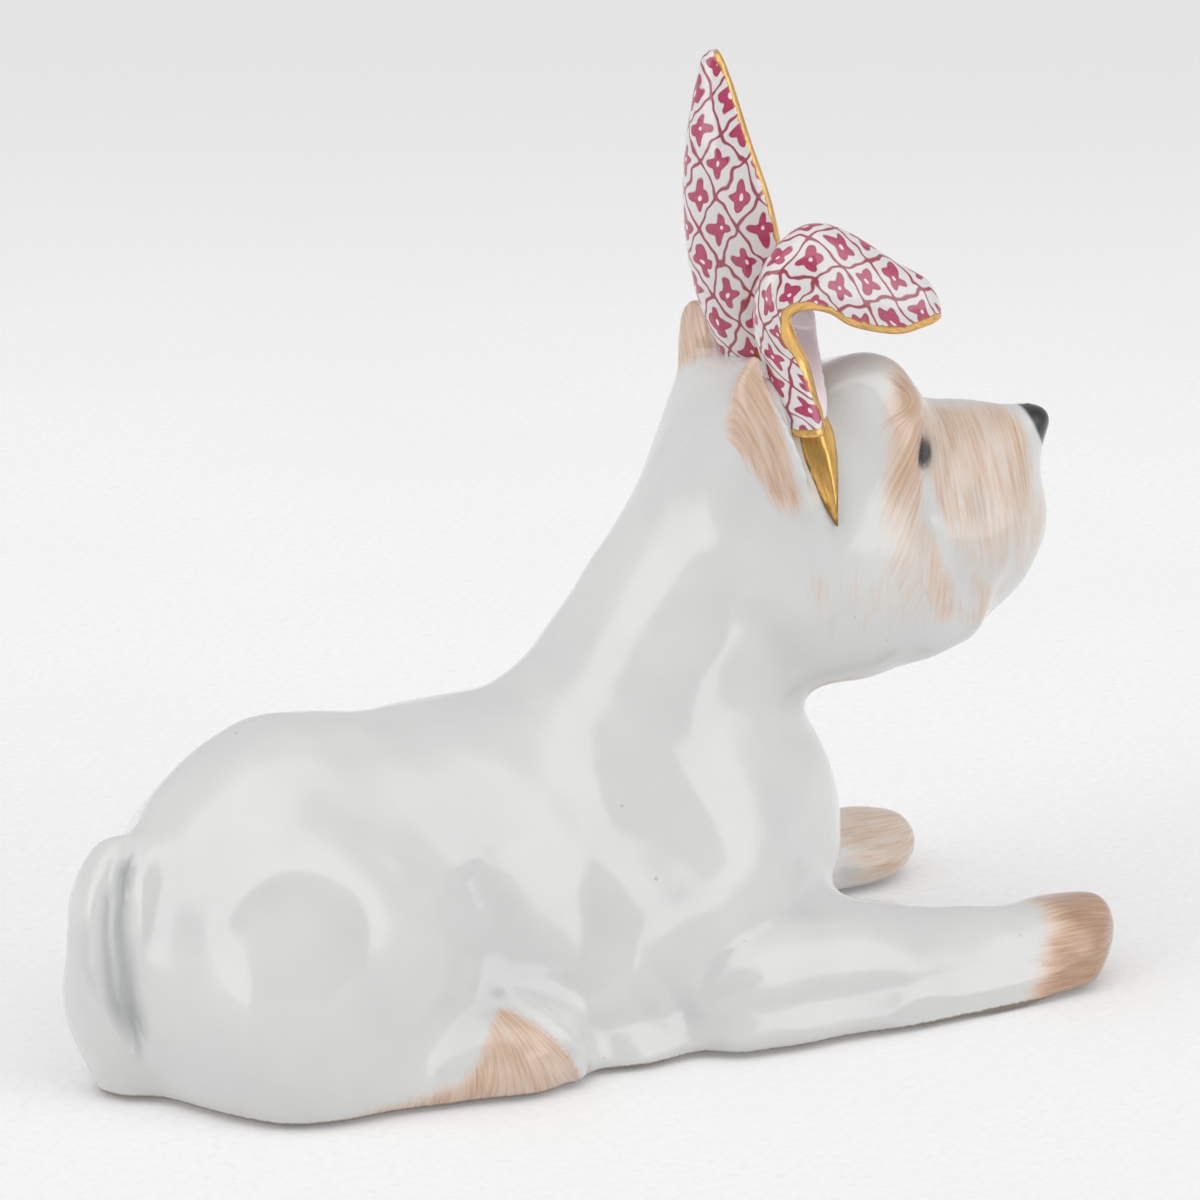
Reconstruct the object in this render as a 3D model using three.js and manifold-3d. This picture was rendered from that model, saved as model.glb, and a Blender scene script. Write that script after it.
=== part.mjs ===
// Porcelain figurine of a terrier lying down with its head raised, in a headband with rabbit ears.
// The clay model is one blended form. It is divided at the mould lines into castings, which are luted
// together and glazed: body, head, limbs, tail, ears and band.
// Millimetres. The dog faces +X, +Y is its left and +Z is up. The origin is on the shelf, under the
// middle of the figurine.

import * as THREE from 'three';
import { mergeVertices } from 'three/addons/utils/BufferGeometryUtils.js';
import Module from 'manifold-3d';

const wasm = await Module();
wasm.setup();

// Joints and foot
const lutingGap = 0.3;
const footRimWidth = 3.4;
const footRecess = 0.6;
const footX = -8;
const footHalfLength = 26;
const footHalfWidth = 12;
const ventX = -6;
const ventRadius = 1.5;
const ventDepth = 5;

// Body
const rumpX = -25;
const rumpTop = 28.2;
const rumpLength = 14.8;
const rumpHalfWidth = 12.4;
const rumpDepth = 19.6;
const loinX = -9;
const loinTop = 28.1;
const loinLength = 19;
const loinHalfWidth = 12.6;
const loinDepth = 15.2;
const chestX = 11.3;
const chestTop = 27.5;
const chestLength = 14.2;
const chestHalfWidth = 12.4;
const chestDepth = 14.3;
const haunchX = -25.8;
const haunchTop = 21;
const haunchSpread = 10.4;
const haunchLength = 9.8;
const haunchBulge = 6.6;
const haunchDepth = 12.5;
const flankTop = 16;
const flankSpread = 8.4;
const flankLength = 13;
const flankBulge = 7;
const flankDepth = 11;
const shoulderX = 8.5;
const shoulderTop = 21;
const shoulderSpread = 9.2;
const shoulderLength = 7.5;
const shoulderBulge = 6;
const shoulderDepth = 10;
const neckBaseX = 7.2;
const neckBaseHeight = 22.5;
const neckBaseRadius = 10.7;
const neckTopX = 19.6;
const neckTopHeight = 43.5;
const neckTopRadius = 7.7;
const bodySmoothing = 5;
const neckSmoothing = 4;

// The mould line between body and head crosses the neck from the nape down to the throat.
const seamX = 16.5;
const seamHeight = 34.5;
const seamLean = THREE.MathUtils.degToRad(27.6);

// Limbs and tail
const elbowX = 9;
const elbowSpread = 12.6;
const elbowHeight = 4.6;
const elbowRadius = 6.2;
const forearmX = 22;
const forearmSpread = 13.6;
const forearmHeight = 4.6;
const forearmRadius = 5.2;
const wristX = 31.5;
const wristSpread = 14.3;
const wristRadius = 4.6;
const pawReach = 44.9;
const leftPawShortfall = 0.9;
const pawSpread = 14.9;
const pawLength = 5.8;
const pawHalfWidth = 5;
const rightPawTop = 7.4;
const leftPawTop = 5.9;
const pawDepthShare = 0.56;
const limbSmoothing = 3;
const heelX = -24;
const heelSpread = 12.4;
const heelHeight = 2;
const heelRadius = 3.4;
const toeX = -5.4;
const toeSpread = 13.8;
const toeHeight = 2.8;
const toeLength = 5;
const toeRadius = 4;
const tailX = -39.5;
const tailTop = 21.5;
const tailDepth = 4;
const tailHalfWidth = 3.9;
const tailHalfHeight = 11;
const tailMiddleDrop = 12;
const tailRootInset = 1.8;
const tailRootDepth = 3.5;
const tailRootHalfWidth = 3.1;
const tailRootHalfHeight = 5;
const tailTipInset = 2.6;
const tailTipDrop = 18.5;
const tailTipHalfHeight = 7;

// Head. From here on, its own frame: the origin is in the skull and +X is the way the face looks.
const headX = 15.4;
const headHeight = 40;
const headTurn = THREE.MathUtils.degToRad(-15);
const skullX = 6.8;
const skullTop = 11.9;
const skullLength = 11.6;
const skullHalfWidth = 10.4;
const skullDepth = 11;
const occiputX = 1;
const occiputTop = 11.8;
const occiputSpread = 6.2;
const occiputLength = 4;
const occiputHalfWidth = 3.4;
const occiputDepth = 5.8;
const cheekX = 8.5;
const cheekTop = 3.6;
const cheekSpread = 5.2;
const cheekLength = 9.5;
const cheekBulge = 6.2;
const cheekDepth = 8.6;
const browX = 12.7;
const browTop = 11.8;
const browSpread = 4.6;
const browLength = 3.9;
const browHalfWidth = 5;
const browDepth = 5;
const throatX = 9.5;
const throatTop = -1.4;
const throatLength = 8;
const throatHalfWidth = 7.6;
const throatDepth = 5.6;
const muzzleX = 18.6;
const muzzleTop = 7.8;
const muzzleLength = 8.9;
const muzzleHalfWidth = 7;
const muzzleDepth = 8.8;
const bridgeX = 14;
const bridgeTop = 7.5;
const bridgeRadius = 4.8;
const noseX = 24.9;
const noseDrop = 0.2;
const noseRadius = 2.4;
const beardX = 20.2;
const beardTop = 3.2;
const beardLength = 7;
const beardHalfWidth = 6.6;
const beardDepth = 7.4;
const chinX = 18;
const chinTop = -1.8;
const chinLength = 8;
const chinHalfWidth = 5.6;
const chinDepth = 5.4;
const headSmoothing = 3;
const muzzleSmoothing = 2.5;
const faceSmoothing = 1.2;

// Band and ears
const bandX = 5.2;
const bandHalfWidth = 1.65;
const bandRise = 1.3;
const bandEdge = 0.5;
const bandPointX = 6.6;
const bandPointWidth = 0.15;
const bandSpan = THREE.MathUtils.degToRad(85);
const bandShoulder = THREE.MathUtils.degToRad(48);
const dogEarThickness = 1.9;
const leftDogEarSetBack = 0.7;
const rabbitEarThickness = 1.3;

// Each station of an ear is [middle of the back, one rim, the other rim], from its root to its tip.
const dogEarStations = [
  [[3.4, 10.2, 2.6], [4.8, 11.8, 2.6], [5.0, 8.2, 3.2]],
  [[1.6, 9.2, 6.4], [3.8, 11.6, 6.4], [3.8, 5.6, 7.6]],
  [[-0.6, 8.4, 10.0], [2.4, 10.9, 10.0], [2.4, 5.2, 10.6]],
  [[-0.9, 8.1, 12.6], [1.2, 9.9, 12.6], [1.2, 6.6, 13.0]],
  [[0.1, 8.3, 15.2], [0.6, 8.7, 15.2], [0.6, 8.0, 15.2]],
];
const uprightEarStations = [
  [[3.6, 5.5, 10.2], [5.6, 3.6, 10.6], [6.2, 7.6, 10.2]],
  [[2.2, 5.3, 12.5], [5.3, 2.7, 12.4], [5.8, 8.2, 12.0]],
  [[0.3, 5.2, 16.0], [5.3, 2.2, 16.0], [4.8, 9.2, 16.0]],
  [[-1.1, 5.4, 20.0], [5.2, 1.9, 20.0], [4.4, 9.8, 20.0]],
  [[-1.7, 5.6, 25.0], [4.2, 2.0, 25.0], [3.4, 9.9, 25.0]],
  [[-1.4, 5.8, 30.0], [2.6, 2.7, 30.0], [2.2, 9.1, 30.0]],
  [[-0.7, 5.9, 34.2], [1.5, 4.0, 34.0], [1.2, 7.9, 34.0]],
  [[0.5, 6.0, 37.4], [1.0, 5.5, 37.3], [1.0, 6.5, 37.3]],
];
const foldedEarStations = [
  [[3.8, -10.2, 8.4], [5.7, -11.1, 8.2], [6.8, -9.4, 8.8]],
  [[2.6, -8.4, 11.4], [5.2, -10.1, 11.0], [7.0, -6.8, 12.0]],
  [[1.2, -6.2, 15.5], [4.7, -9.2, 14.4], [7.4, -3.2, 15.2]],
  [[1.0, -6.0, 18.9], [3.7, -9.4, 16.6], [6.9, -2.8, 17.2]],
  [[1.8, -6.0, 22.1], [3.0, -9.4, 18.6], [5.8, -2.8, 18.9]],
  [[3.9, -6.0, 24.4], [4.2, -9.4, 19.4], [6.1, -2.8, 19.6]],
  [[6.3, -6.0, 25.0], [6.2, -9.3, 18.9], [7.4, -2.8, 19.4]],
  [[9.0, -6.0, 24.0], [8.4, -9.0, 17.6], [9.2, -3.0, 18.4]],
  [[12.6, -6.0, 21.6], [12.2, -8.2, 16.2], [12.6, -3.8, 16.8]],
  [[15.0, -6.0, 19.6], [15.0, -7.1, 16.9], [15.1, -4.9, 17.0]],
  [[16.5, -6.0, 18.5], [16.5, -6.4, 17.8], [16.5, -5.6, 17.8]],
];

// Fineness of the facets
const bodyFacets = [44, 44];
const headFacets = [36, 44];
const limbFacets = [18, 18];
const footFacets = [14, 14];
const dogEarFacets = [10, 7];
const rabbitEarFacets = [20, 9];
const bandFacets = 28;
const roundFacets = 48;

// Glazes
const whiteGlaze = new THREE.MeshStandardMaterial({ color: 0xe9ebe8, roughness: 0.1, metalness: 0 });
const raspberryGlaze = new THREE.MeshStandardMaterial({ color: 0xe0a3be, roughness: 0.1, metalness: 0 });
const burnishedGold = new THREE.MeshStandardMaterial({ color: 0xc9912f, roughness: 0.2, metalness: 1 });

const upright = Math.PI / 2;
const overlap = 2;

// Clay forms. Each is a function of a point that gives about how far outside the form the point lies.
function ball([centreX, centreY, centreZ], [radiusX, radiusY, radiusZ]) {
  return (x, y, z) => {
    const [u, v, w] = [(x - centreX) / radiusX, (y - centreY) / radiusY, (z - centreZ) / radiusZ];
    const share = Math.hypot(u, v, w);
    const slope = Math.hypot(u / radiusX, v / radiusY, w / radiusZ);
    return slope > 0 ? (share * (share - 1)) / slope : -Math.min(radiusX, radiusY, radiusZ);
  };
}

// A ball placed by its top.
function mound(x, y, top, [length, halfWidth, depth]) {
  return ball([x, y, top - depth], [length, halfWidth, depth]);
}

// The same mound on both sides.
function mounds(x, spread, top, radii) {
  return [mound(x, spread, top, radii), mound(x, -spread, top, radii)];
}

// A roll of clay between two points, tapering from one radius to the other.
function roll(start, end, startRadius, endRadius) {
  const [startX, startY, startZ] = start;
  const [runX, runY, runZ] = end.map((place, axis) => place - start[axis]);
  const runSquared = runX * runX + runY * runY + runZ * runZ;
  return (x, y, z) => {
    const [u, v, w] = [x - startX, y - startY, z - startZ];
    const share = THREE.MathUtils.clamp((u * runX + v * runY + w * runZ) / runSquared, 0, 1);
    const away = Math.hypot(u - share * runX, v - share * runY, w - share * runZ);
    return away - THREE.MathUtils.lerp(startRadius, endRadius, share);
  };
}

// Forms pressed together, the clay smoothed over where they come this close.
function press(smoothing, ...forms) {
  return (x, y, z) => {
    let distance = forms[0](x, y, z);
    for (let i = 1; i < forms.length; i += 1) {
      const other = forms[i](x, y, z);
      const blend = Math.max(smoothing - Math.abs(distance - other), 0);
      distance = Math.min(distance, other) - (blend * blend) / (4 * smoothing);
    }
    return distance;
  };
}

// A form seen from another frame, from which the matrix carries points into the form's own.
function seenFrom(matrix, form) {
  const m = matrix.elements;
  return (x, y, z) => form(
    m[0] * x + m[4] * y + m[8] * z + m[12],
    m[1] * x + m[5] * y + m[9] * z + m[13],
    m[2] * x + m[6] * y + m[10] * z + m[14],
  );
}

// Where the surface of a form lies along a direction from a point inside it.
function surfacePoint(form, from, direction, growth) {
  const furthest = 90;
  const shortestStep = 0.12;
  const halvings = 14;
  const place = (s) => from.clone().addScaledVector(direction, s);
  const outside = (s) => form(...place(s).toArray()) - growth;
  let [near, far] = [0, 0];
  let depth = -outside(0);
  while (depth > 0 && far < furthest) {
    near = far;
    far += Math.max(shortestStep, depth / 2);
    depth = -outside(far);
  }
  for (let i = 0; i < halvings; i += 1) {
    const middle = (near + far) / 2;
    if (outside(middle) < 0) near = middle;
    else far = middle;
  }
  return place(far);
}

// A closed mesh becomes a solid, which can be joined and cut, and a solid becomes a mesh again.
function solidOf(geometry) {
  const bare = geometry.clone();
  bare.deleteAttribute('normal');
  bare.deleteAttribute('uv');
  const merged = mergeVertices(bare, 1e-4);
  return new wasm.Manifold(new wasm.Mesh({
    numProp: 3,
    vertProperties: merged.attributes.position.array,
    triVerts: new Uint32Array(merged.index.array),
  }));
}

function geometryOf(solid) {
  const { vertProperties, triVerts } = solid.getMesh();
  const geometry = new THREE.BufferGeometry();
  geometry.setAttribute('position', new THREE.BufferAttribute(new Float32Array(vertProperties), 3));
  geometry.setIndex(new THREE.BufferAttribute(new Uint32Array(triVerts), 1));
  geometry.computeVertexNormals();
  return geometry;
}

function geometryFrom(points, faces) {
  const geometry = new THREE.BufferGeometry();
  const places = points.flatMap((point) => point.toArray());
  geometry.setAttribute('position', new THREE.Float32BufferAttribute(places, 3));
  geometry.setIndex(faces);
  return geometry;
}

// The quads between two neighbouring rings of points, as pairs of triangles.
function wallFaces(firstRing, sides, ringCount) {
  const faces = [];
  for (let ring = 0; ring + 1 < ringCount; ring += 1) {
    for (let side = 0; side < sides; side += 1) {
      const a = firstRing + ring * sides + side;
      const b = firstRing + ring * sides + ((side + 1) % sides);
      faces.push(a, b, b + sides, a, b + sides, a + sides);
    }
  }
  return faces;
}

// The surface of a form, taken in rings round a spine that runs inside it. A station of the spine is
// [x, y, z, lean]: its ring is square to X with a lean of 0 and lies flat with a lean of 90 degrees.
// Past each end of the spine the rings close up like the ribs of a dome.
function skin(form, stations, [ringCount, sides], growth = 0) {
  const path = new THREE.CatmullRomCurve3(stations.map(([x, y, z]) => new THREE.Vector3(x, y, z)));
  const leans = new THREE.CatmullRomCurve3(stations.map(([, , , lean], i) => new THREE.Vector3(i, lean, 0)));
  const point = (along, tiltDegrees, turn) => {
    const from = path.getPoint(along);
    const lean = THREE.MathUtils.degToRad(leans.getPoint(along).y);
    const tilt = THREE.MathUtils.degToRad(tiltDegrees);
    const direction = new THREE.Vector3(0, Math.cos(turn), Math.sin(turn))
      .multiplyScalar(Math.cos(tilt))
      .add(new THREE.Vector3(Math.sin(tilt), 0, 0))
      .applyAxisAngle(new THREE.Vector3(0, 1, 0), -lean);
    return surfacePoint(form, from, direction, growth);
  };
  const domeRings = Math.round(ringCount / 6);
  const wallRings = ringCount - 2 * domeRings;
  const rings = [];
  for (let i = 1; i < domeRings; i += 1) rings.push([0, (i / domeRings - 1) * 90]);
  for (let i = 0; i <= wallRings; i += 1) rings.push([i / wallRings, 0]);
  for (let i = 1; i < domeRings; i += 1) rings.push([1, (i / domeRings) * 90]);
  const points = [point(0, -90, 0)];
  for (const [along, tilt] of rings) {
    for (let side = 0; side < sides; side += 1) points.push(point(along, tilt, (2 * Math.PI * side) / sides));
  }
  points.push(point(1, 90, 0));
  const faces = wallFaces(1, sides, rings.length);
  const lastRing = points.length - 1 - sides;
  for (let side = 0; side < sides; side += 1) {
    const next = (side + 1) % sides;
    faces.push(0, 1 + next, 1 + side, points.length - 1, lastRing + side, lastRing + next);
  }
  const solid = solidOf(geometryFrom(points, faces));
  return solid.volume() > 0 ? solid : solidOf(geometryFrom(points, faces.toReversed()));
}

// A solid through a row of sections. A section's first and last points, its second and last but one,
// and so on, face each other.
function loft(sections) {
  const sides = sections[0].length;
  const faces = wallFaces(0, sides, sections.length);
  const last = (sections.length - 1) * sides;
  for (let i = 0; i < sides / 2 - 1; i += 1) {
    const [a, b, c, d] = [i, i + 1, sides - 2 - i, sides - 1 - i];
    faces.push(a, c, b, a, d, c);
    faces.push(last + a, last + b, last + c, last + a, last + c, last + d);
  }
  const points = sections.flat();
  const solid = solidOf(geometryFrom(points, faces));
  return solid.volume() > 0 ? solid : solidOf(geometryFrom(points, faces.toReversed()));
}

// A block to cut with, which fills everything behind a plane. The plane faces along X, or leans up.
function blockBehind([x, y, z], lean) {
  const size = 200;
  const block = new THREE.BoxGeometry(size, size, size);
  block.translate(-size / 2, 0, 0);
  block.rotateY(-lean);
  block.translate(x, y, z);
  return solidOf(block);
}

// A solid's largest piece, without crumbs that a cut leaves.
function mainPiece(solid) {
  return solid.decompose().sort((one, other) => other.volume() - one.volume())[0];
}

// The clay of the whole animal, without limbs, tail and ears
const bodyForm = press(bodySmoothing,
  mound(rumpX, 0, rumpTop, [rumpLength, rumpHalfWidth, rumpDepth]),
  mound(loinX, 0, loinTop, [loinLength, loinHalfWidth, loinDepth]),
  mound(chestX, 0, chestTop, [chestLength, chestHalfWidth, chestDepth]),
  ...mounds(haunchX, haunchSpread, haunchTop, [haunchLength, haunchBulge, haunchDepth]),
  ...mounds(shoulderX, shoulderSpread, shoulderTop, [shoulderLength, shoulderBulge, shoulderDepth]),
  ...mounds(0, flankSpread, flankTop, [flankLength, flankBulge, flankDepth]),
  roll([neckBaseX, 0, neckBaseHeight], [neckTopX, 0, neckTopHeight], neckBaseRadius, neckTopRadius));

const skullForm = press(headSmoothing,
  mound(skullX, 0, skullTop, [skullLength, skullHalfWidth, skullDepth]),
  ...mounds(occiputX, occiputSpread, occiputTop, [occiputLength, occiputHalfWidth, occiputDepth]),
  ...mounds(cheekX, cheekSpread, cheekTop, [cheekLength, cheekBulge, cheekDepth]),
  ...mounds(browX, browSpread, browTop, [browLength, browHalfWidth, browDepth]),
  mound(throatX, 0, throatTop, [throatLength, throatHalfWidth, throatDepth]));

const muzzleForm = press(muzzleSmoothing,
  mound(muzzleX, 0, muzzleTop, [muzzleLength, muzzleHalfWidth, muzzleDepth]),
  roll([bridgeX, 0, bridgeTop - bridgeRadius], [noseX, 0, bridgeTop - noseDrop - noseRadius],
    bridgeRadius, noseRadius),
  mound(beardX, 0, beardTop, [beardLength, beardHalfWidth, beardDepth]),
  mound(chinX, 0, chinTop, [chinLength, chinHalfWidth, chinDepth]));

const headToDog = new THREE.Matrix4().makeRotationZ(headTurn).setPosition(headX, 0, headHeight);
const dogToHead = headToDog.clone().invert();
const headForm = press(faceSmoothing, skullForm, muzzleForm);
const animalForm = press(neckSmoothing, bodyForm, seenFrom(dogToHead, headForm));

function aheadOfSeam(x, z) {
  return (x - seamX) * Math.cos(seamLean) + (z - seamHeight) * Math.sin(seamLean);
}

// The clay on one side of the mould line, with some to spare past it, to be cut back.
function bodyClay(spare, spareBelow) {
  return (x, y, z) => Math.max(animalForm(x, y, z), aheadOfSeam(x, z) - spare, -z - spareBelow);
}

function headClay(spare) {
  return seenFrom(headToDog, (x, y, z) => Math.max(animalForm(x, y, z), -aheadOfSeam(x, z) - spare));
}

const bodySpine = [
  [-28, 0, 10, 0], [-18, 0, 12, 0], [-6, 0, 13, 4], [4, 0, 15, 17],
  [10, 0, 21, 36], [13.5, 0, 28, 44], [17, 0, 35.5, 34],
];
const headSpine = [[2.8, 0, -4.4, 24], [6, 0, -2, 12], [12, 0, -1, 0], [19.5, 0, -1.5, 0]];

const belowShelf = blockBehind([0, 0, 0], upright);
const bodyAndGap = skin(bodyClay(overlap, overlap), bodySpine, bodyFacets, lutingGap);
const headAndGap = skin(headClay(overlap), headSpine, headFacets, lutingGap).transform(headToDog.elements);

// The cut at the mould line, half the luting gap to one side of it.
function seamBlock(side) {
  const shift = (side * lutingGap) / 2;
  const place = [seamX + shift * Math.cos(seamLean), 0, seamHeight + shift * Math.sin(seamLean)];
  return blockBehind(place, side > 0 ? seamLean : seamLean + Math.PI);
}

// A round or oval hole in the foot, this deep.
function footHole(x, halfLength, halfWidth, depth) {
  const hole = new THREE.CylinderGeometry(1, 1, 2 * depth, roundFacets);
  hole.rotateX(upright);
  hole.scale(halfLength, halfWidth, 1);
  hole.translate(x, 0, 0);
  return solidOf(hole);
}

function torso() {
  return skin(bodyClay(overlap, overlap), bodySpine, bodyFacets)
    .subtract(belowShelf)
    .subtract(seamBlock(-1))
    .subtract(footHole(footX, footHalfLength - footRimWidth, footHalfWidth - footRimWidth, footRecess))
    .subtract(footHole(ventX, ventRadius, ventRadius, ventDepth));
}

function head() {
  return skin(headClay(overlap), headSpine, headFacets)
    .transform(headToDog.elements)
    .subtract(seamBlock(1));
}

// A solid casting that stands on the shelf against the body.
function lutedToBody(form, stations, facets) {
  const spine = stations.map(([place, lean]) => [...place, lean]);
  return mainPiece(skin(form, spine, facets).subtract(belowShelf).subtract(bodyAndGap));
}

function foreleg(side) {
  const reach = side > 0 ? pawReach - leftPawShortfall : pawReach;
  const pawTop = side > 0 ? leftPawTop : rightPawTop;
  const pawDepth = pawDepthShare * pawTop;
  const elbow = [elbowX, side * elbowSpread, elbowHeight];
  const forearm = [forearmX, side * forearmSpread, forearmHeight];
  const wrist = [wristX, side * wristSpread, pawTop - wristRadius];
  const paw = [reach - pawLength, side * pawSpread, pawTop - pawDepth];
  const form = press(limbSmoothing,
    roll(elbow, forearm, elbowRadius, forearmRadius),
    roll(forearm, wrist, forearmRadius, wristRadius),
    ball(paw, [pawLength, pawHalfWidth, pawDepth]));
  return lutedToBody(form, [[elbow, 0], [forearm, 0], [wrist, 0], [paw, 0]], limbFacets);
}

function hindFoot(side) {
  const heel = [heelX, side * heelSpread, heelHeight];
  const toe = [toeX - toeLength, side * toeSpread, toeHeight];
  const form = press(limbSmoothing,
    roll(heel, toe, heelRadius, toeRadius),
    ball(toe, [toeLength, toeRadius, toeRadius]));
  return lutedToBody(form, [[heel, 0], [toe, 0]], footFacets);
}

function tail() {
  const root = [tailX + tailRootInset, 0, tailTop - tailRootHalfHeight];
  const middle = [tailX, 0, tailTop - tailMiddleDrop];
  const tip = [tailX + tailTipInset, 0, tailTop - tailTipDrop];
  const form = press(limbSmoothing,
    ball(root, [tailRootDepth, tailRootHalfWidth, tailRootHalfHeight]),
    ball(middle, [tailDepth, tailHalfWidth, tailHalfHeight]),
    ball(tip, [tailDepth, tailHalfWidth, tailTipHalfHeight]));
  return lutedToBody(form, [[tip, 90], [middle, 90], [root, 90]], limbFacets);
}

// A hoop with a roof-shaped section that follows the skull and runs out to a point at each cheek.
function bandLoft(growth) {
  const form = headClay(overlap);
  const sections = [];
  for (let i = 0; i <= bandFacets; i += 1) {
    const turn = ((2 * i) / bandFacets - 1) * bandSpan;
    const taper = Math.max(0, (Math.abs(turn) - bandShoulder) / (bandSpan - bandShoulder));
    const halfWidth = THREE.MathUtils.lerp(bandHalfWidth, bandPointWidth, taper) + growth;
    const rise = THREE.MathUtils.lerp(bandRise, bandEdge, taper * taper);
    const x = THREE.MathUtils.lerp(bandX, bandPointX, Math.abs(turn / bandSpan) ** 3);
    const outward = new THREE.Vector3(0, -Math.sin(turn), Math.cos(turn));
    const at = (offset, height) =>
      surfacePoint(form, new THREE.Vector3(x + offset, 0, 0), outward, 0).addScaledVector(outward, height);
    const [sunk, edge, ridge] = [-lutingGap, lutingGap + bandEdge + growth, lutingGap + rise + growth];
    sections.push([
      at(-halfWidth, sunk), at(-halfWidth, edge), at(0, ridge),
      at(halfWidth, edge), at(halfWidth, sunk), at(0, sunk),
    ]);
  }
  return loft(sections).transform(headToDog.elements);
}

function headband() {
  return mainPiece(bandLoft(0).subtract(headAndGap));
}

// An ear pinched from a sheet of clay: a leaf cupped along its length.
function earLeaf(stations, thickness, [lengthFacets, arcPoints]) {
  const lines = [0, 1, 2].map((line) =>
    new THREE.CatmullRomCurve3(stations.map((station) => new THREE.Vector3(...station[line]))));
  const thinnest = 0.15;
  const sections = [];
  for (let i = 0; i <= lengthFacets; i += 1) {
    const [back, rim, otherRim] = lines.map((line) => line.getPoint(i / lengthFacets));
    const middle = rim.clone().lerp(otherRim, 0.5);
    const across = otherRim.clone().sub(middle);
    const deep = back.clone().sub(middle);
    const arc = (inset) => Array.from({ length: arcPoints }, (_, step) => {
      const turn = Math.PI * (step / (arcPoints - 1) - 0.5);
      const acrossShare = Math.max(thinnest, 1 - inset / across.length());
      const deepShare = Math.max(thinnest, 1 - inset / deep.length());
      return middle.clone()
        .addScaledVector(across, acrossShare * Math.sin(turn))
        .addScaledVector(deep, deepShare * Math.cos(turn));
    });
    sections.push([...arc(0), ...arc(thickness).reverse()]);
  }
  return loft(sections).transform(headToDog.elements).subtract(headAndGap);
}

function dogEar(side) {
  const setBack = side > 0 ? leftDogEarSetBack : 0;
  const stations = dogEarStations.map((station) => station.map(([x, y, z]) => [x - setBack, side * y, z]));
  return mainPiece(earLeaf(stations, dogEarThickness, dogEarFacets));
}

function rabbitEar(stations) {
  return mainPiece(earLeaf(stations, rabbitEarThickness, rabbitEarFacets).subtract(bandLoft(lutingGap)));
}

const castings = [
  ['torso', torso(), whiteGlaze],
  ['head', head(), whiteGlaze],
  ['foreleg_left', foreleg(1), whiteGlaze],
  ['foreleg_right', foreleg(-1), whiteGlaze],
  ['hind_foot_left', hindFoot(1), whiteGlaze],
  ['hind_foot_right', hindFoot(-1), whiteGlaze],
  ['tail', tail(), whiteGlaze],
  ['dog_ear_left', dogEar(1), whiteGlaze],
  ['dog_ear_right', dogEar(-1), whiteGlaze],
  ['headband', headband(), burnishedGold],
  ['rabbit_ear_upright', rabbitEar(uprightEarStations), raspberryGlaze],
  ['rabbit_ear_folded', rabbitEar(foldedEarStations), raspberryGlaze],
];

const figurine = new THREE.Group();
for (const [name, solid, glaze] of castings) {
  const casting = new THREE.Mesh(geometryOf(solid), glaze.clone());
  casting.name = name;
  figurine.add(casting);
}

// The middle of the figurine goes over the origin.
const middle = new THREE.Box3().setFromObject(figurine).getCenter(new THREE.Vector3());
figurine.position.set(-middle.x, -middle.y, 0);

export default figurine;
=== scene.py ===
"""Porcelain terrier lying down in a gilded headband with rabbit ears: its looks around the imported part."""

import math

import bmesh
import bpy
import numpy as np
from bpy.props import FloatProperty, FloatVectorProperty, IntProperty, PointerProperty
from mathutils import Matrix, Vector
from mathutils.bvhtree import BVHTree


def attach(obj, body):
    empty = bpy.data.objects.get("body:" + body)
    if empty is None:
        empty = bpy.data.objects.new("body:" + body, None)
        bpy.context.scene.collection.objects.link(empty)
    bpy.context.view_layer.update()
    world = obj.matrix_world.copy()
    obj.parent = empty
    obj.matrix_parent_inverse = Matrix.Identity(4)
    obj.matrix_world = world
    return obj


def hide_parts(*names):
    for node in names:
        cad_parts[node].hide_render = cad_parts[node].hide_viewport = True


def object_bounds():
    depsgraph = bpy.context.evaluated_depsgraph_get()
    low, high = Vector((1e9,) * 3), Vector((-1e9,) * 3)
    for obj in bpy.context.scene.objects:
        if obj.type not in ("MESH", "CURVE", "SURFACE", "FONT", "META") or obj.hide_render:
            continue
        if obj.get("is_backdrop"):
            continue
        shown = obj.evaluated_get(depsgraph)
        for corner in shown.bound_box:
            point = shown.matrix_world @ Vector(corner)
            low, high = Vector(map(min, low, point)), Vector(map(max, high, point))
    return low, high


bl_info = {
    "name": "Porcelain terrier",
    "version": (1, 0, 0),
    "blender": (4, 5, 0),
    "location": "3D View > Sidebar > Terrier",
    "description": "Models a glazed porcelain terrier in a gilded headband with rabbit ears",
    "category": "Object",
}

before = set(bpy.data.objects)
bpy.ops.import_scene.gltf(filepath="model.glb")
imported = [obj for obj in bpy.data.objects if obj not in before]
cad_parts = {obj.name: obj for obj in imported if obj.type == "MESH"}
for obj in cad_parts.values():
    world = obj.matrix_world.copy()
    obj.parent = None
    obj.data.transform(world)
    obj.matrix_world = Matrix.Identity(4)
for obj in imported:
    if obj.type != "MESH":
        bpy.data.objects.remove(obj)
CAD_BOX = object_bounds()

MM = 0.001

# The head has its own frame: its origin is in the skull and +X is the way the face looks.
HEAD_PLACE = np.array([14.668, 0.0, 40.0])
HEAD_TURN = math.radians(-15)
HEAD_AXES = np.array([
    [math.cos(HEAD_TURN), math.sin(HEAD_TURN), 0.0],
    [-math.sin(HEAD_TURN), math.cos(HEAD_TURN), 0.0],
    [0.0, 0.0, 1.0],
])
CASTINGS = (
    "torso", "head", "foreleg_left", "foreleg_right", "hind_foot_left", "hind_foot_right", "tail",
    "dog_ear_left", "dog_ear_right",
)

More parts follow.
